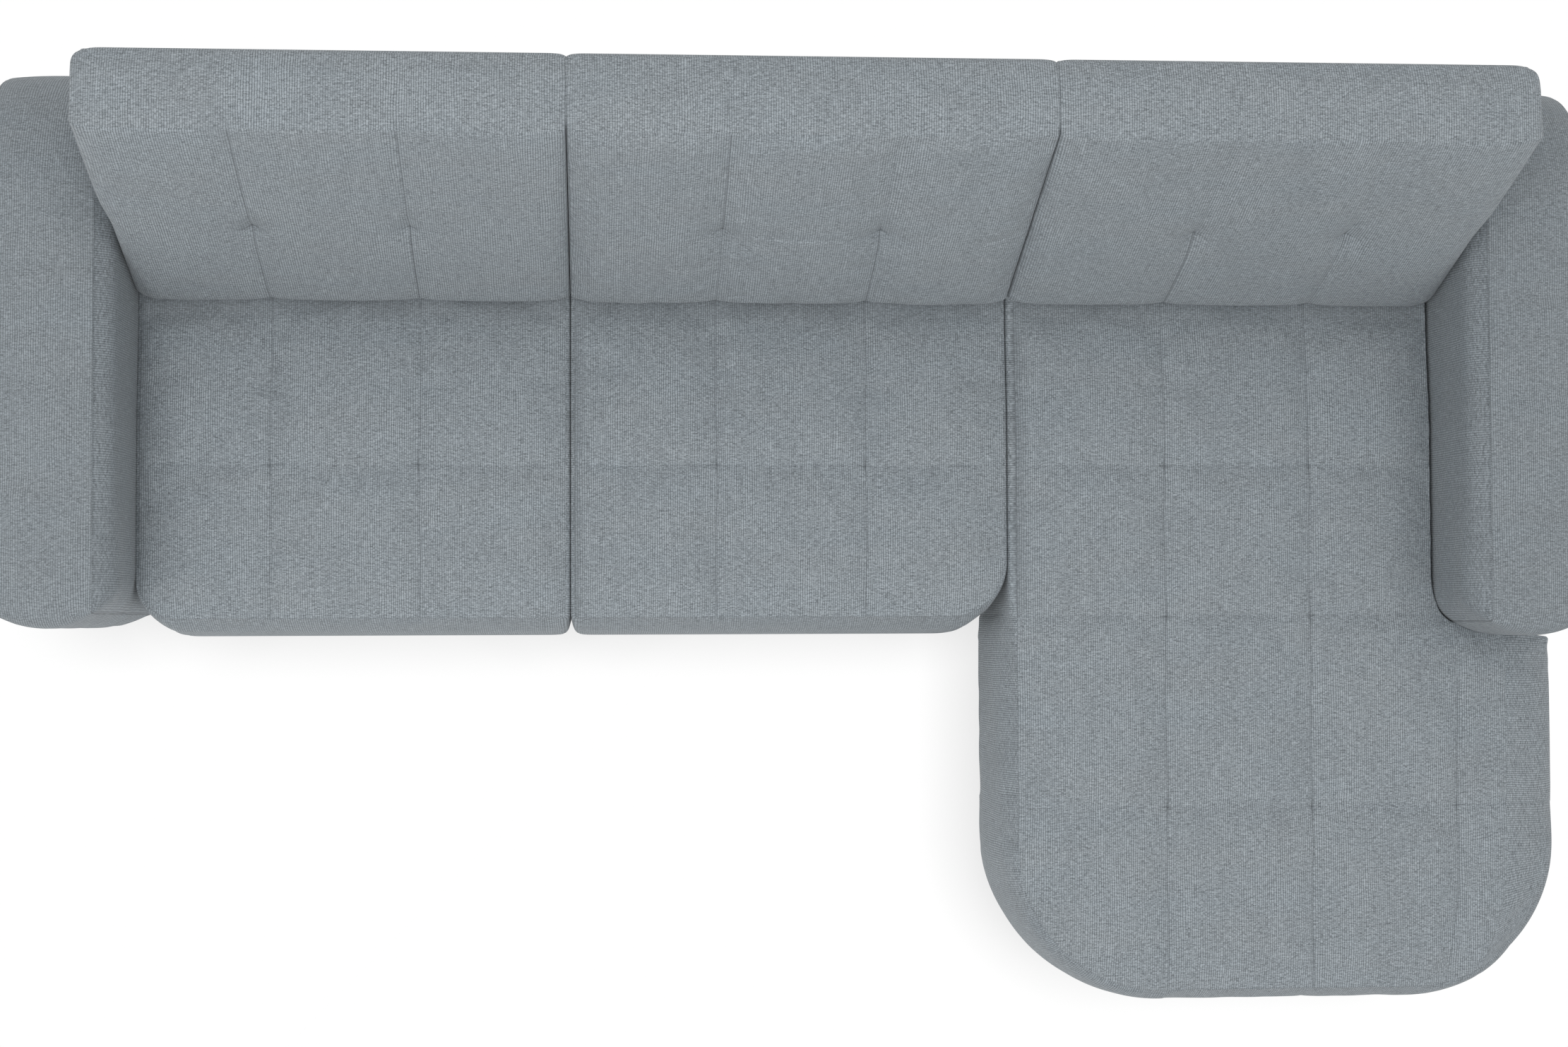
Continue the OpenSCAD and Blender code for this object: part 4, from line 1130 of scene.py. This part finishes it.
@dataclass
class Arm(Padding):
    """A rounded arm's cover: a strip over its front, top and rear between two padded sides.

    Attributes:
        left: Its leftmost side.
        right: Its rightmost side.
        front: Its frontmost place.
        rear: Its rearmost place.
        foot: Height of its foot.
        top: Height of the seams on its top.
        side: How far a side swells out past its seams.
        front_swell: How far the front of the strip stands proud of its seams.
        rear_swell: The same at the rear.
        top_swell: The same on top.
        swell_reach: Distance from an edge over which the strip swells.
        seam_r: Radius of a seam's top front corner, seen from the side.
        front_r: Radius of the strip's top front corner.
        rear_r: Radius of the top rear corner.
        rise: Distance from a seam within which a side reaches its full swell.
        rear_least: The least share of it at the rounded rear.
    """

    left: float = 0.0
    right: float = 1.0
    front: float = 0.0
    rear: float = 1.0
    foot: float = 0.106
    top: float = 0.62
    side: float = 0.029
    front_swell: float = 0.02
    rear_swell: float = 0.003
    top_swell: float = 0.007
    swell_reach: float = 0.1
    seam_r: float = 0.014
    front_r: float = 0.045
    rear_r: float = 0.215
    rise: float = 0.075
    rear_least: float = 0.35
    reach: float = 0.003
    # Painted shade: the arm covers are painted darker than the seats and backs of the same cloth
    painted_shade: float = 0.23

    @property
    def ends(self) -> tuple[float, float]:
        """Places in depth of the front and the rear seams."""
        return self.front + self.front_swell, self.rear - self.rear_swell

    def rows(self) -> Cloth:
        """Lays the block's rows between the seams.

        Returns:
            The block of panels.
        """
        xs = cuts(self.left + self.side, self.right - self.side, [])
        return Cloth(xs, cuts(*self.ends, []), cuts(self.foot, self.top, []))

    def form(self, raw: Vector) -> Vector:
        """Finds where a point of the block lies on the padded form.

        Args:
            raw: The point of the block.

        Returns:
            Its place.
        """
        x, y, z = raw
        low_y, high_y = self.ends
        centre = (self.left + self.right) / 2.0
        half = (self.right - self.left) / 2.0 - self.side
        across = (x - centre) / half
        arc = max(0.0, 1.0 - abs(across) ** 2.2)
        fall, rear_share = self.top - z, 0.0
        reach = self.swell_reach
        y -= self.front_swell * arc * (1.0 - smooth((y - low_y) / reach)) * smooth((z - self.foot) / 0.03)
        y += self.rear_swell * arc * smooth((y - high_y + reach) / reach)
        z += self.top_swell * arc * smooth((z - self.top + reach) / reach)
        edge_z = self.top + self.top_swell * arc
        front = Corner(low_y - self.front_swell * arc, edge_z, blend(self.seam_r, self.front_r, arc), -1, 1)
        rear = Corner(high_y + self.rear_swell * arc, edge_z, self.rear_r, 1, 1)
        if front.holds(y, z):
            y, z = front.round_off(y, z)
        rear_s, _ = rear.share(y, z)
        if rear.holds(y, z):
            s, t = rear.arc(y, z)
            y, z = rear.round_off(y, z)
            fall, rear_share = self.rear_r * (1.0 - math.hypot(s, t)), smooth(s)
        elif rear_s > 0.0:
            fall, rear_share = self.rear_r * (1.0 - rear_s), smooth(rear_s)
        from_front = min(1.0, max(0.0, raw.y - low_y) / self.rise)
        from_top = min(1.0, max(0.0, fall) / self.rise)
        least = self.rear_least * rear_share
        share = (1.0 - (1.0 - from_front) ** 6) * blend(least, 1.0, 1.0 - (1.0 - from_top) ** 5)
        return Vector((centre + across * (half + self.side * share), y, z))

    def seam(self, raw: Vector) -> float:
        """Tells how clearly a seam shows, most on the front.

        Args:
            raw: The point of the block.

        Returns:
            1 for a black line, and 0 beside the seams.
        """
        low_y, high_y = self.ends
        if self.left + self.side + NEAR < raw.x < self.right - self.side - NEAR:
            return 0.0
        if raw.y < low_y + NEAR:
            return 0.85
        return 0.45 if raw.y > high_y - NEAR or raw.z > self.top - NEAR else 0.0

    def held(self, raw: Vector) -> bool:
        """Whether the frame or a seam holds a point of the block in place."""
        return raw.z < self.foot + 0.02 or self.seam(raw) > 0.0


class Nodes:
    """A short way to write the nodes of a material."""

    def __init__(self, name: str) -> None:
        """Starts an empty material.

        Args:
            name: Its name.
        """
        self.material = bpy.data.materials.new(name)
        self.material.use_nodes = True
        self.tree = self.material.node_tree
        self.tree.nodes.clear()

    def add(self, kind: str, inputs: dict | None = None, **settings: object) -> bpy.types.Node:
        """Adds a node.

        Args:
            kind: Blender's name of the node, without ShaderNode.
            inputs: A value or another node's output for each socket that is set.
            settings: The node's own settings.

        Returns:
            The node.
        """
        node = self.tree.nodes.new("ShaderNode" + kind)
        for key, value in settings.items():
            setattr(node, key, value)
        for key, value in (inputs or {}).items():
            if isinstance(value, bpy.types.NodeSocket):
                self.tree.links.new(value, node.inputs[key])
            else:
                node.inputs[key].default_value = value
        return node

    def math(self, operation: str, a: object, b: object = 0.0, c: object = 0.0) -> bpy.types.NodeSocket:
        """A sum of one to three values."""
        return self.add("Math", {0: a, 1: b, 2: c}, operation=operation).outputs[0]

    def mix(self, share: object, a: object, b: object, blend_type: str = "MIX") -> bpy.types.NodeSocket:
        """Mixes two colours, or lays one over the other.

        Args:
            share: The share of the second one, as a value or another node's output.
            a: The first colour.
            b: The second colour.
            blend_type: How the second is laid over the first.

        Returns:
            The mixed colour.
        """
        node = self.add("Mix", data_type="RGBA", blend_type=blend_type)
        for socket, value in ((node.inputs[0], share), (node.inputs[6], a), (node.inputs[7], b)):
            if isinstance(value, bpy.types.NodeSocket):
                self.tree.links.new(value, socket)
            else:
                socket.default_value = (*value, 1.0) if isinstance(value, tuple) else value
        return node.outputs[2]

    def place(self, source: bpy.types.NodeSocket,
              scale: tuple[float, float, float]) -> bpy.types.NodeSocket:
        """Coordinates stretched for a pattern."""
        return self.add("Mapping", {"Vector": source, "Scale": scale}).outputs[0]

    def noise(self, source: bpy.types.NodeSocket, detail: float = 2.0,
              rough: float = 0.5) -> bpy.types.NodeSocket:
        """A cloudy value around a half."""
        inputs = {"Vector": source, "Scale": 1.0, "Detail": detail, "Roughness": rough}
        return self.add("TexNoise", inputs).outputs["Fac"]

    def range(self, value: object, low: float, high: float, to_low: float = 0.0,
              to_high: float = 1.0) -> bpy.types.NodeSocket:
        """A value moved from one range to another, and kept within it."""
        return self.add("MapRange", {0: value, 1: low, 2: high, 3: to_low, 4: to_high}).outputs[0]

    def finish(self, shader: bpy.types.Node) -> bpy.types.Material:
        """Gives the shader to the material.

        Args:
            shader: The last node before the output.

        Returns:
            The finished material.
        """
        out = self.add("OutputMaterial")
        self.tree.links.new(shader.outputs[0], out.inputs["Surface"])
        return self.material


@dataclass(frozen=True)
class RibbedCloth:
    """A heathered cloth of thick ribs, with paler yarn breaking through along and across them.

    Attributes:
        name: The material's name.
        light: Colour of the palest yarn.
        middle: Colour of most of the yarn.
        dark: Colour between the yarns.
        rib: Distance between ribs.
        pick: Length of a stitch along a rib.
        stitch: How much the stitches differ.
        streak: How much paler yarn breaks through across the ribs.
        grain: How much the fibres differ.
        cloud: How much wider patches differ.
    """

    name: str = "ribbed_cloth"
    light: Colour = (0.398, 0.441, 0.474)
    middle: Colour = (0.248, 0.275, 0.296)
    dark: Colour = (0.124, 0.139, 0.150)
    rib: float = 0.00346
    pick: float = 0.0026
    stitch: float = 1.1
    streak: float = 0.65
    grain: float = 0.8
    cloud: float = 0.14

    def build(self) -> bpy.types.Material:
        """Makes the material on the cloth's own flat map.

        Returns:
            The material.
        """
        n = Nodes(self.name)
        uv = n.add("UVMap", uv_map="cloth").outputs[0]
        wander = n.noise(n.place(uv, (42.0, 9.0, 1.0)), detail=2.0)
        split = n.add("SeparateXYZ", {0: uv})
        u = n.math("MULTIPLY_ADD", n.math("SUBTRACT", wander, 0.5), self.rib * 1.6, split.outputs[0])
        v = split.outputs[1]
        phase = n.math("DIVIDE", u, self.rib)
        rib = n.math("MULTIPLY_ADD", n.math("COSINE", n.math("MULTIPLY", phase, math.tau)), 0.5, 0.5)
        number = n.math("FLOOR", n.math("ADD", phase, 0.5))
        stitch_place = n.add("CombineXYZ", {0: n.math("MULTIPLY", number, 3.7),
                                            1: n.math("DIVIDE", v, self.pick), 2: 0.0}).outputs[0]
        stitch = n.noise(stitch_place, detail=1.0)
        streak = n.noise(n.place(uv, (80.0, 520.0, 1.0)), detail=2.0, rough=0.55)
        grain = n.noise(n.place(uv, (620.0, 520.0, 1.0)), detail=1.0)
        cloud = n.noise(n.place(uv, (11.0, 7.0, 1.0)), detail=3.0, rough=0.6)
        warm = n.noise(n.place(uv, (6.0, 17.0, 4.0)), detail=2.0)
        clear = n.range(cloud, 0.35, 0.65, 0.22, 0.5)
        value = n.math("MULTIPLY_ADD", n.math("SUBTRACT", rib, 0.5), clear, 0.54)
        for part, amount in ((stitch, self.stitch), (streak, self.streak), (grain, self.grain),
                             (cloud, self.cloud)):
            value = n.math("MULTIPLY_ADD", n.math("SUBTRACT", part, 0.5), amount, value)
        shade = n.add("ValToRGB", {0: value})
        stops = shade.color_ramp.elements
        stops[0].position, stops[0].color = 0.12, (*self.dark, 1.0)
        stops[1].position, stops[1].color = 0.92, (*self.light, 1.0)
        stops.new(0.52).color = (*self.middle, 1.0)
        tint = n.mix(n.range(warm, 0.3, 0.7), (0.99, 1.003, 1.007), (1.007, 1.0, 0.99))
        colour = n.mix(0.8, shade.outputs[0], tint, "MULTIPLY")
        # Painted shade: each cover's per-point shade attribute darkens the colour towards the dark yarn's
        # colour
        painted_shade = n.add("Attribute", attribute_name="painted_shade").outputs["Fac"]
        colour = n.mix(painted_shade, colour, self.dark)
        seam = n.add("Attribute", attribute_name="seam").outputs["Fac"]
        line = n.math("POWER", seam, 1.3)
        broken = n.range(streak, 0.35, 0.6, 0.45, 1.0)
        colour = n.mix(n.math("MULTIPLY", line, broken), colour, tuple(c * 0.5 for c in self.dark))
        relief = n.math("MULTIPLY_ADD", value, 0.6, rib)
        bump = n.add("Bump", {"Height": relief, "Strength": 0.35, "Distance": 0.0008})
        shader = n.add("BsdfPrincipled", {"Base Color": colour, "Roughness": 0.94, "Normal": bump.outputs[0],
                                          "Sheen Weight": 0.12, "Sheen Roughness": 0.5,
                                          "Specular IOR Level": 0.2})
        return n.finish(shader)


@dataclass(frozen=True)
class Plain:
    """A finish of one colour with a fine grain, for what the covers hide.

    Attributes:
        name: The material's name.
        colour: Its main colour.
        second: The colour of its grain.
        grain: How often the grain repeats in a metre, along x, y and z.
        roughness: How matt it is.
        metal: 1 for a metal and 0 for anything else.
        relief: Depth of its grain.
    """

    name: str
    colour: Colour
    second: Colour
    grain: tuple[float, float, float] = (80.0, 80.0, 80.0)
    roughness: float = 0.7
    metal: float = 0.0
    relief: float = 0.0004

    def build(self) -> bpy.types.Material:
        """Makes the material on the object's own coordinates.

        Returns:
            The material.
        """
        n = Nodes(self.name)
        place = n.place(n.add("TexCoord").outputs["Object"], self.grain)
        grain = n.noise(place, detail=6.0, rough=0.6)
        colour = n.mix(n.range(grain, 0.35, 0.65), self.colour, self.second)
        bump = n.add("Bump", {"Height": grain, "Strength": 0.5, "Distance": self.relief})
        shader = n.add("BsdfPrincipled", {"Base Color": colour, "Roughness": self.roughness,
                                          "Metallic": self.metal, "Normal": bump.outputs[0]})
        return n.finish(shader)


FINISHES: dict[str, Plain] = {
    "foam": Plain("foam", (0.72, 0.66, 0.44), (0.80, 0.75, 0.55), (420.0, 420.0, 420.0), 0.95, 0.0, 0.0012),
    "felt": Plain("felt", (0.12, 0.11, 0.10), (0.30, 0.29, 0.29), (350.0, 350.0, 90.0), 0.98, 0.0, 0.001),
    "spring_steel": Plain("spring_steel", (0.30, 0.31, 0.33), (0.42, 0.43, 0.45), (90.0, 90.0, 90.0),
                          0.38, 1.0),
    "timber": Plain("timber", (0.55, 0.36, 0.18), (0.40, 0.24, 0.11), (14.0, 14.0, 240.0), 0.68),
    "plywood": Plain("plywood", (0.60, 0.44, 0.25), (0.46, 0.31, 0.16), (12.0, 30.0, 420.0), 0.66),
    "dust_cloth": Plain("dust_cloth", (0.012, 0.012, 0.014), (0.032, 0.032, 0.035),
                        (700.0, 700.0, 700.0), 0.95),
    "webbing": Plain("webbing", (0.02, 0.02, 0.02), (0.07, 0.07, 0.07), (25.0, 400.0, 700.0), 0.9),
    "foot_wood": Plain("foot_wood", (0.045, 0.026, 0.016), (0.085, 0.050, 0.030), (160.0, 160.0, 9.0), 0.42),
    "glide_plastic": Plain("glide_plastic", (0.012, 0.012, 0.012), (0.02, 0.02, 0.02), (300.0, 300.0, 300.0),
                           0.55),
    "fixings": Plain("fixings", (0.45, 0.45, 0.46), (0.58, 0.58, 0.60), (150.0, 150.0, 150.0), 0.35, 1.0),
}


@dataclass(frozen=True)
class Studio:
    """A plain pale floor, a white surround and one soft lamp above.

    Attributes:
        floor_size: Half width of the floor.
        shadow_reach: How far from the sofa the floor darkens.
        shadow: How much it darkens at most.
        floor_white: How bright the floor looks past that, a touch over white.
        surround: Strength of the light from all round, level and from straight above.
        lamp_place: Where the lamp hangs.
        lamp_aim: The middle of the sofa, which it faces.
        lamp_size: How wide it is.
        lamp_power: Its strength in watts.
    """

    floor_size: float = 30.0
    shadow_reach: float = 0.15
    shadow: float = 0.58
    floor_white: float = 1.004
    surround: tuple[float, float] = (0.60, 0.86)
    lamp_place: tuple[float, float, float] = (-0.9, -1.1, 4.3)
    lamp_aim: tuple[float, float, float] = (0.0, 0.0, 0.4)
    lamp_size: float = 4.0
    lamp_power: float = 58.0

    def build(self) -> None:
        """Makes the surround, the floor and the lamp."""
        scene = bpy.context.scene
        scene.view_settings.view_transform = "Standard"
        world = bpy.data.worlds.new("surround")
        scene.world = world
        world.use_nodes = True
        tree = world.node_tree
        tree.nodes.clear()
        light = tree.nodes.new("ShaderNodeBackground")
        way = tree.nodes.new("ShaderNodeSeparateXYZ")
        rise = tree.nodes.new("ShaderNodeMapRange")
        rise.inputs["To Min"].default_value, rise.inputs["To Max"].default_value = self.surround
        tree.links.new(tree.nodes.new("ShaderNodeTexCoord").outputs["Generated"], way.inputs[0])
        tree.links.new(way.outputs["Z"], rise.inputs["Value"])
        tree.links.new(rise.outputs[0], light.inputs["Strength"])
        white = tree.nodes.new("ShaderNodeBackground")
        mix = tree.nodes.new("ShaderNodeMixShader")
        path = tree.nodes.new("ShaderNodeLightPath")
        seen = tree.nodes.new("ShaderNodeMath")
        seen.operation = "MAXIMUM"
        out = tree.nodes.new("ShaderNodeOutputWorld")
        for background in (light, white):
            background.inputs["Color"].default_value = (1.0, 1.0, 1.0, 1.0)
        tree.links.new(path.outputs["Is Camera Ray"], seen.inputs[0])
        tree.links.new(path.outputs["Is Glossy Ray"], seen.inputs[1])
        tree.links.new(seen.outputs[0], mix.inputs[0])
        tree.links.new(light.outputs[0], mix.inputs[1])
        tree.links.new(white.outputs[0], mix.inputs[2])
        tree.links.new(mix.outputs[0], out.inputs[0])
        self.floor()
        self.lamp()

    def floor(self) -> None:
        """Makes the floor, which stays pale and keeps the sofa's shadow."""
        bm = bmesh.new()
        bmesh.ops.create_grid(bm, x_segments=1, y_segments=1, size=self.floor_size)
        mesh = bpy.data.meshes.new("floor")
        bm.to_mesh(mesh)
        bm.free()
        floor = bpy.data.objects.new("floor", mesh)
        bpy.context.scene.collection.objects.link(floor)
        n = Nodes("pale_floor")
        diffuse = n.add("BsdfDiffuse", {"Color": (0.93, 0.93, 0.93, 1.0)})
        near = n.add("AmbientOcclusion", {"Distance": self.shadow_reach}, samples=16)
        white = n.math("MULTIPLY_ADD", near.outputs["AO"], self.shadow, self.floor_white - self.shadow)
        glow = n.add("Emission", {"Color": (1.0, 1.0, 1.0, 1.0), "Strength": white})
        path = n.add("LightPath")
        mix = n.add("MixShader", {0: path.outputs["Is Camera Ray"], 1: diffuse.outputs[0],
                                  2: glow.outputs[0]})
        below = n.add("NewGeometry").outputs["Backfacing"]
        clear = n.add("BsdfTransparent")
        seen = n.add("MixShader", {0: below, 1: mix.outputs[0], 2: clear.outputs[0]})
        mesh.materials.append(n.finish(seen))

    def lamp(self) -> None:
        """Makes the wide round lamp."""
        data = bpy.data.lights.new("key", "AREA")
        data.shape = "DISK"
        data.size = self.lamp_size
        data.energy = self.lamp_power
        lamp = bpy.data.objects.new("key", data)
        lamp.location = self.lamp_place
        way = Vector(self.lamp_aim) - Vector(self.lamp_place)
        lamp.rotation_euler = way.to_track_quat("-Z", "Y").to_euler()
        bpy.context.scene.collection.objects.link(lamp)


@dataclass(frozen=True)
class Unit:
    """What sets one seat unit and its back apart from the others.

    Attributes:
        name: Its name, which starts those of its nodes.
        start: Where its left side lies, in widths of a unit from the joint of the left and middle units.
        channels: Where its two long seams lie, in the same way.
        ends: Radius of its back's left and right ends.
        seams_up: How clearly its back's seams show above the tufts.
        seams_down: How clearly they show below.
    """

    name: str
    start: float
    channels: tuple[float, float]
    ends: tuple[float, float]
    seams_up: tuple[float, float]
    seams_down: tuple[float, float]


UNITS: tuple[Unit, ...] = (
    Unit("left", -1.0, (-0.69, -0.348), (0.024, 0.010), (0.65, 0.6), (0.65, 0.9)),
    Unit("middle", 0.0, (0.331, 0.673), (0.010, 0.010), (0.7, 0.25), (0.4, 0.8)),
    Unit("chaise", 1.0, (1.362, 1.7), (0.010, 0.026), (0.25, 0.15), (0.8, 0.3)),
)


@dataclass(frozen=True)
class Sizes:
    """The driving sizes of the construction that the solids' boxes don't give.

    Attributes:
        left_w: Width of the left unit.
        unit_w: Width of the middle unit and of the chaise beside the arm.
        rear: Depth of the base behind the foot of the backs, at the covers' seams.
        seat_seam: Distance of the seats' front seam from the foot of the backs.
        chaise_seam: The same for the chaise.
        cross_seam: Distance of the seam across the three seats from the foot of the backs.
        chaise_cross: The same for the chaise's foremost one.
        arm_front: Distance of the right arm's front from the foot of the backs.
        arm_clear: Gap between that and the chaise's wide part.
        free_start: Where the chaise's left side starts to stand free, from the foot of the backs.
        left_r: Radius of the left seat's front corner.
        middle_r: Radius of the middle seat's front corner.
        chaise_r: Radius of the chaise's front corners.
        seam_in: How far the top seams of neighbours stay back from their joint.
        unit_gap: Gap between neighbours.
        joint_clear: How far the chaise's swollen left side stays off the joint.
        bulge: Swell of the borders.
        free_bulge: How much further it goes on the chaise's free right side.
        side: Swell of an arm's side.
        roll_w: Width past the extra seam where the chaise's top turns into its right side.
    """

    left_w: float = 0.673
    unit_w: float = 0.693
    rear: float = 0.222
    seat_seam: float = 0.493
    chaise_seam: float = 1.086
    cross_seam: float = 0.254
    chaise_cross: float = 0.796
    arm_front: float = 0.524
    arm_clear: float = 0.004
    free_start: float = 0.447
    left_r: float = 0.06
    middle_r: float = 0.085
    chaise_r: float = 0.23
    seam_in: float = 0.007
    unit_gap: float = 0.001
    joint_clear: float = 0.0003
    bulge: float = 0.026
    free_bulge: float = 0.008
    side: float = 0.029
    roll_w: float = 0.08


@dataclass
class Sofa:
    """The whole sofa: its covers, and the finishes of all that they hold.

    Attributes:
        nodes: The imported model's pieces by name.
        slots: The material slot of each of them.
        sizes: The driving sizes.
    """

    nodes: dict[str, bpy.types.Object]
    slots: dict[str, str]
    sizes: Sizes = Sizes()

    def __post_init__(self) -> None:
        """Finds the joint of the left and middle units and the foot of the backs."""
        low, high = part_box("middle_seat_cover")
        self.joint = low.x - self.sizes.unit_gap / 2.0
        self.heel = high.y - self.sizes.rear

    def across(self, share: float) -> float:
        """A place across, from one in widths of a unit to either side of the joint."""
        return self.joint + share * (self.sizes.left_w if share < 0.0 else self.sizes.unit_w)

    def channels(self, unit: Unit) -> tuple[float, ...]:
        """Places across of a unit's two long seams."""
        return tuple(self.across(share) for share in unit.channels)

    def build(self) -> None:
        """Makes the covers and dresses the rest."""
        cloth = RibbedCloth().build()
        for part in (*self.seats(), *self.backs(), *self.outside_backs(), *self.arms()):
            part.build(cloth)
        self.dress(cloth)

    def seats(self) -> list[Seat]:
        """Sizes the three seat covers from the construction.

        Returns:
            The covers.
        """
        size, heel = self.sizes, self.heel
        arm_low, arm_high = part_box("right_arm_cover")
        extra = arm_low.x + size.side
        own = {
            "left": {"left_r": size.left_r},
            "middle": {"right_r": size.middle_r},
            "chaise": {"left": self.across(1.0) + 2.0 * size.seam_in, "far": arm_high.x - size.bulge,
                       "front": heel - size.chaise_seam, "left_r": size.chaise_r, "right_r": size.chaise_r,
                       "crossings": tuple(heel - seam for seam in (size.cross_seam, size.seat_seam,
                                                                   size.chaise_cross)),
                       "extra": extra, "turn": extra + size.roll_w, "free_left": heel - size.free_start,
                       "notch_y": heel - size.arm_front - size.arm_clear, "step": WIDE_ROW,
                       "right_bulge": size.bulge + size.free_bulge,
                       "closed_bulge": 2.0 * size.seam_in - size.joint_clear},
        }
        made = []
        for unit in UNITS:
            right = self.across(unit.start + 1.0) - size.seam_in
            shared = {"left": self.across(unit.start) + size.seam_in, "right": right, "far": right,
                      "front": heel - size.seat_seam, "rear": heel + size.rear, "heel": heel,
                      "channels": self.channels(unit), "crossings": (heel - size.cross_seam,)}
            made.append(Seat(f"{unit.name}_seat", f"{unit.name}_seat_cover", **(shared | own[unit.name])))
        return made

    def backs(self) -> list[Back]:
        """Sizes the three back covers from the construction.

        Returns:
            The covers.
        """
        gap = self.sizes.unit_gap / 2.0
        return [Back(f"{unit.name}_back", f"{unit.name}_back_cover", left=self.across(unit.start) + gap,
                     right=self.across(unit.start + 1.0) - gap, heel=self.heel,
                     channels=self.channels(unit), ends=unit.ends, seams_up=unit.seams_up,
                     seams_down=unit.seams_down)
                for unit in UNITS]

    def outside_backs(self) -> list[OutsideBack]:
        """Sizes the three outside backs from their solids.

        Returns:
            The outside backs.
        """
        made = []
        for unit in UNITS:
            node = f"{unit.name}_rear_panel"
            low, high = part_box(node)
            made.append(OutsideBack(f"{unit.name}_outside_back", node, low=low, high=high))
        return made

    def arms(self) -> list[Arm]:
        """Sizes the two arm covers from their solids.

        Returns:
            The covers.
        """
        made = []
        for side in ("left", "right"):
            low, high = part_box(f"{side}_arm_cover")
            made.append(Arm(f"{side}_arm", f"{side}_arm_cover", left=low.x, right=high.x, front=low.y,
                            rear=high.y))
        return made

    def dress(self, cloth: bpy.types.Material) -> None:
        """Gives every solid that isn't replaced the finish of its slot.

        Args:
            cloth: The covers' material.
        """
        made = {name: finish.build() for name, finish in FINISHES.items()}
        left = [name for name, node in self.nodes.items() if not node.hide_render]
        for name in left:
            node = self.nodes[name]
            node.data.materials.clear()
            node.data.materials.append(made.get(self.slots[name], cloth))
        log.info("dressed %d nodes", len(left))


def main(frame: dict) -> None:
    """Makes the camera, the studio and the sofa.

    Args:
        frame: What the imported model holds.
    """
    Camera().build()
    Studio().build()
    slots = {part["node"]: part["material_slot"] for part in frame["record"]["subparts"]}
    Sofa(frame["nodes"], slots).build()


if __name__ == "__main__":
    logging.basicConfig(level=logging.INFO, format="%(name)s: %(message)s")
    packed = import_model()
    main(packed)
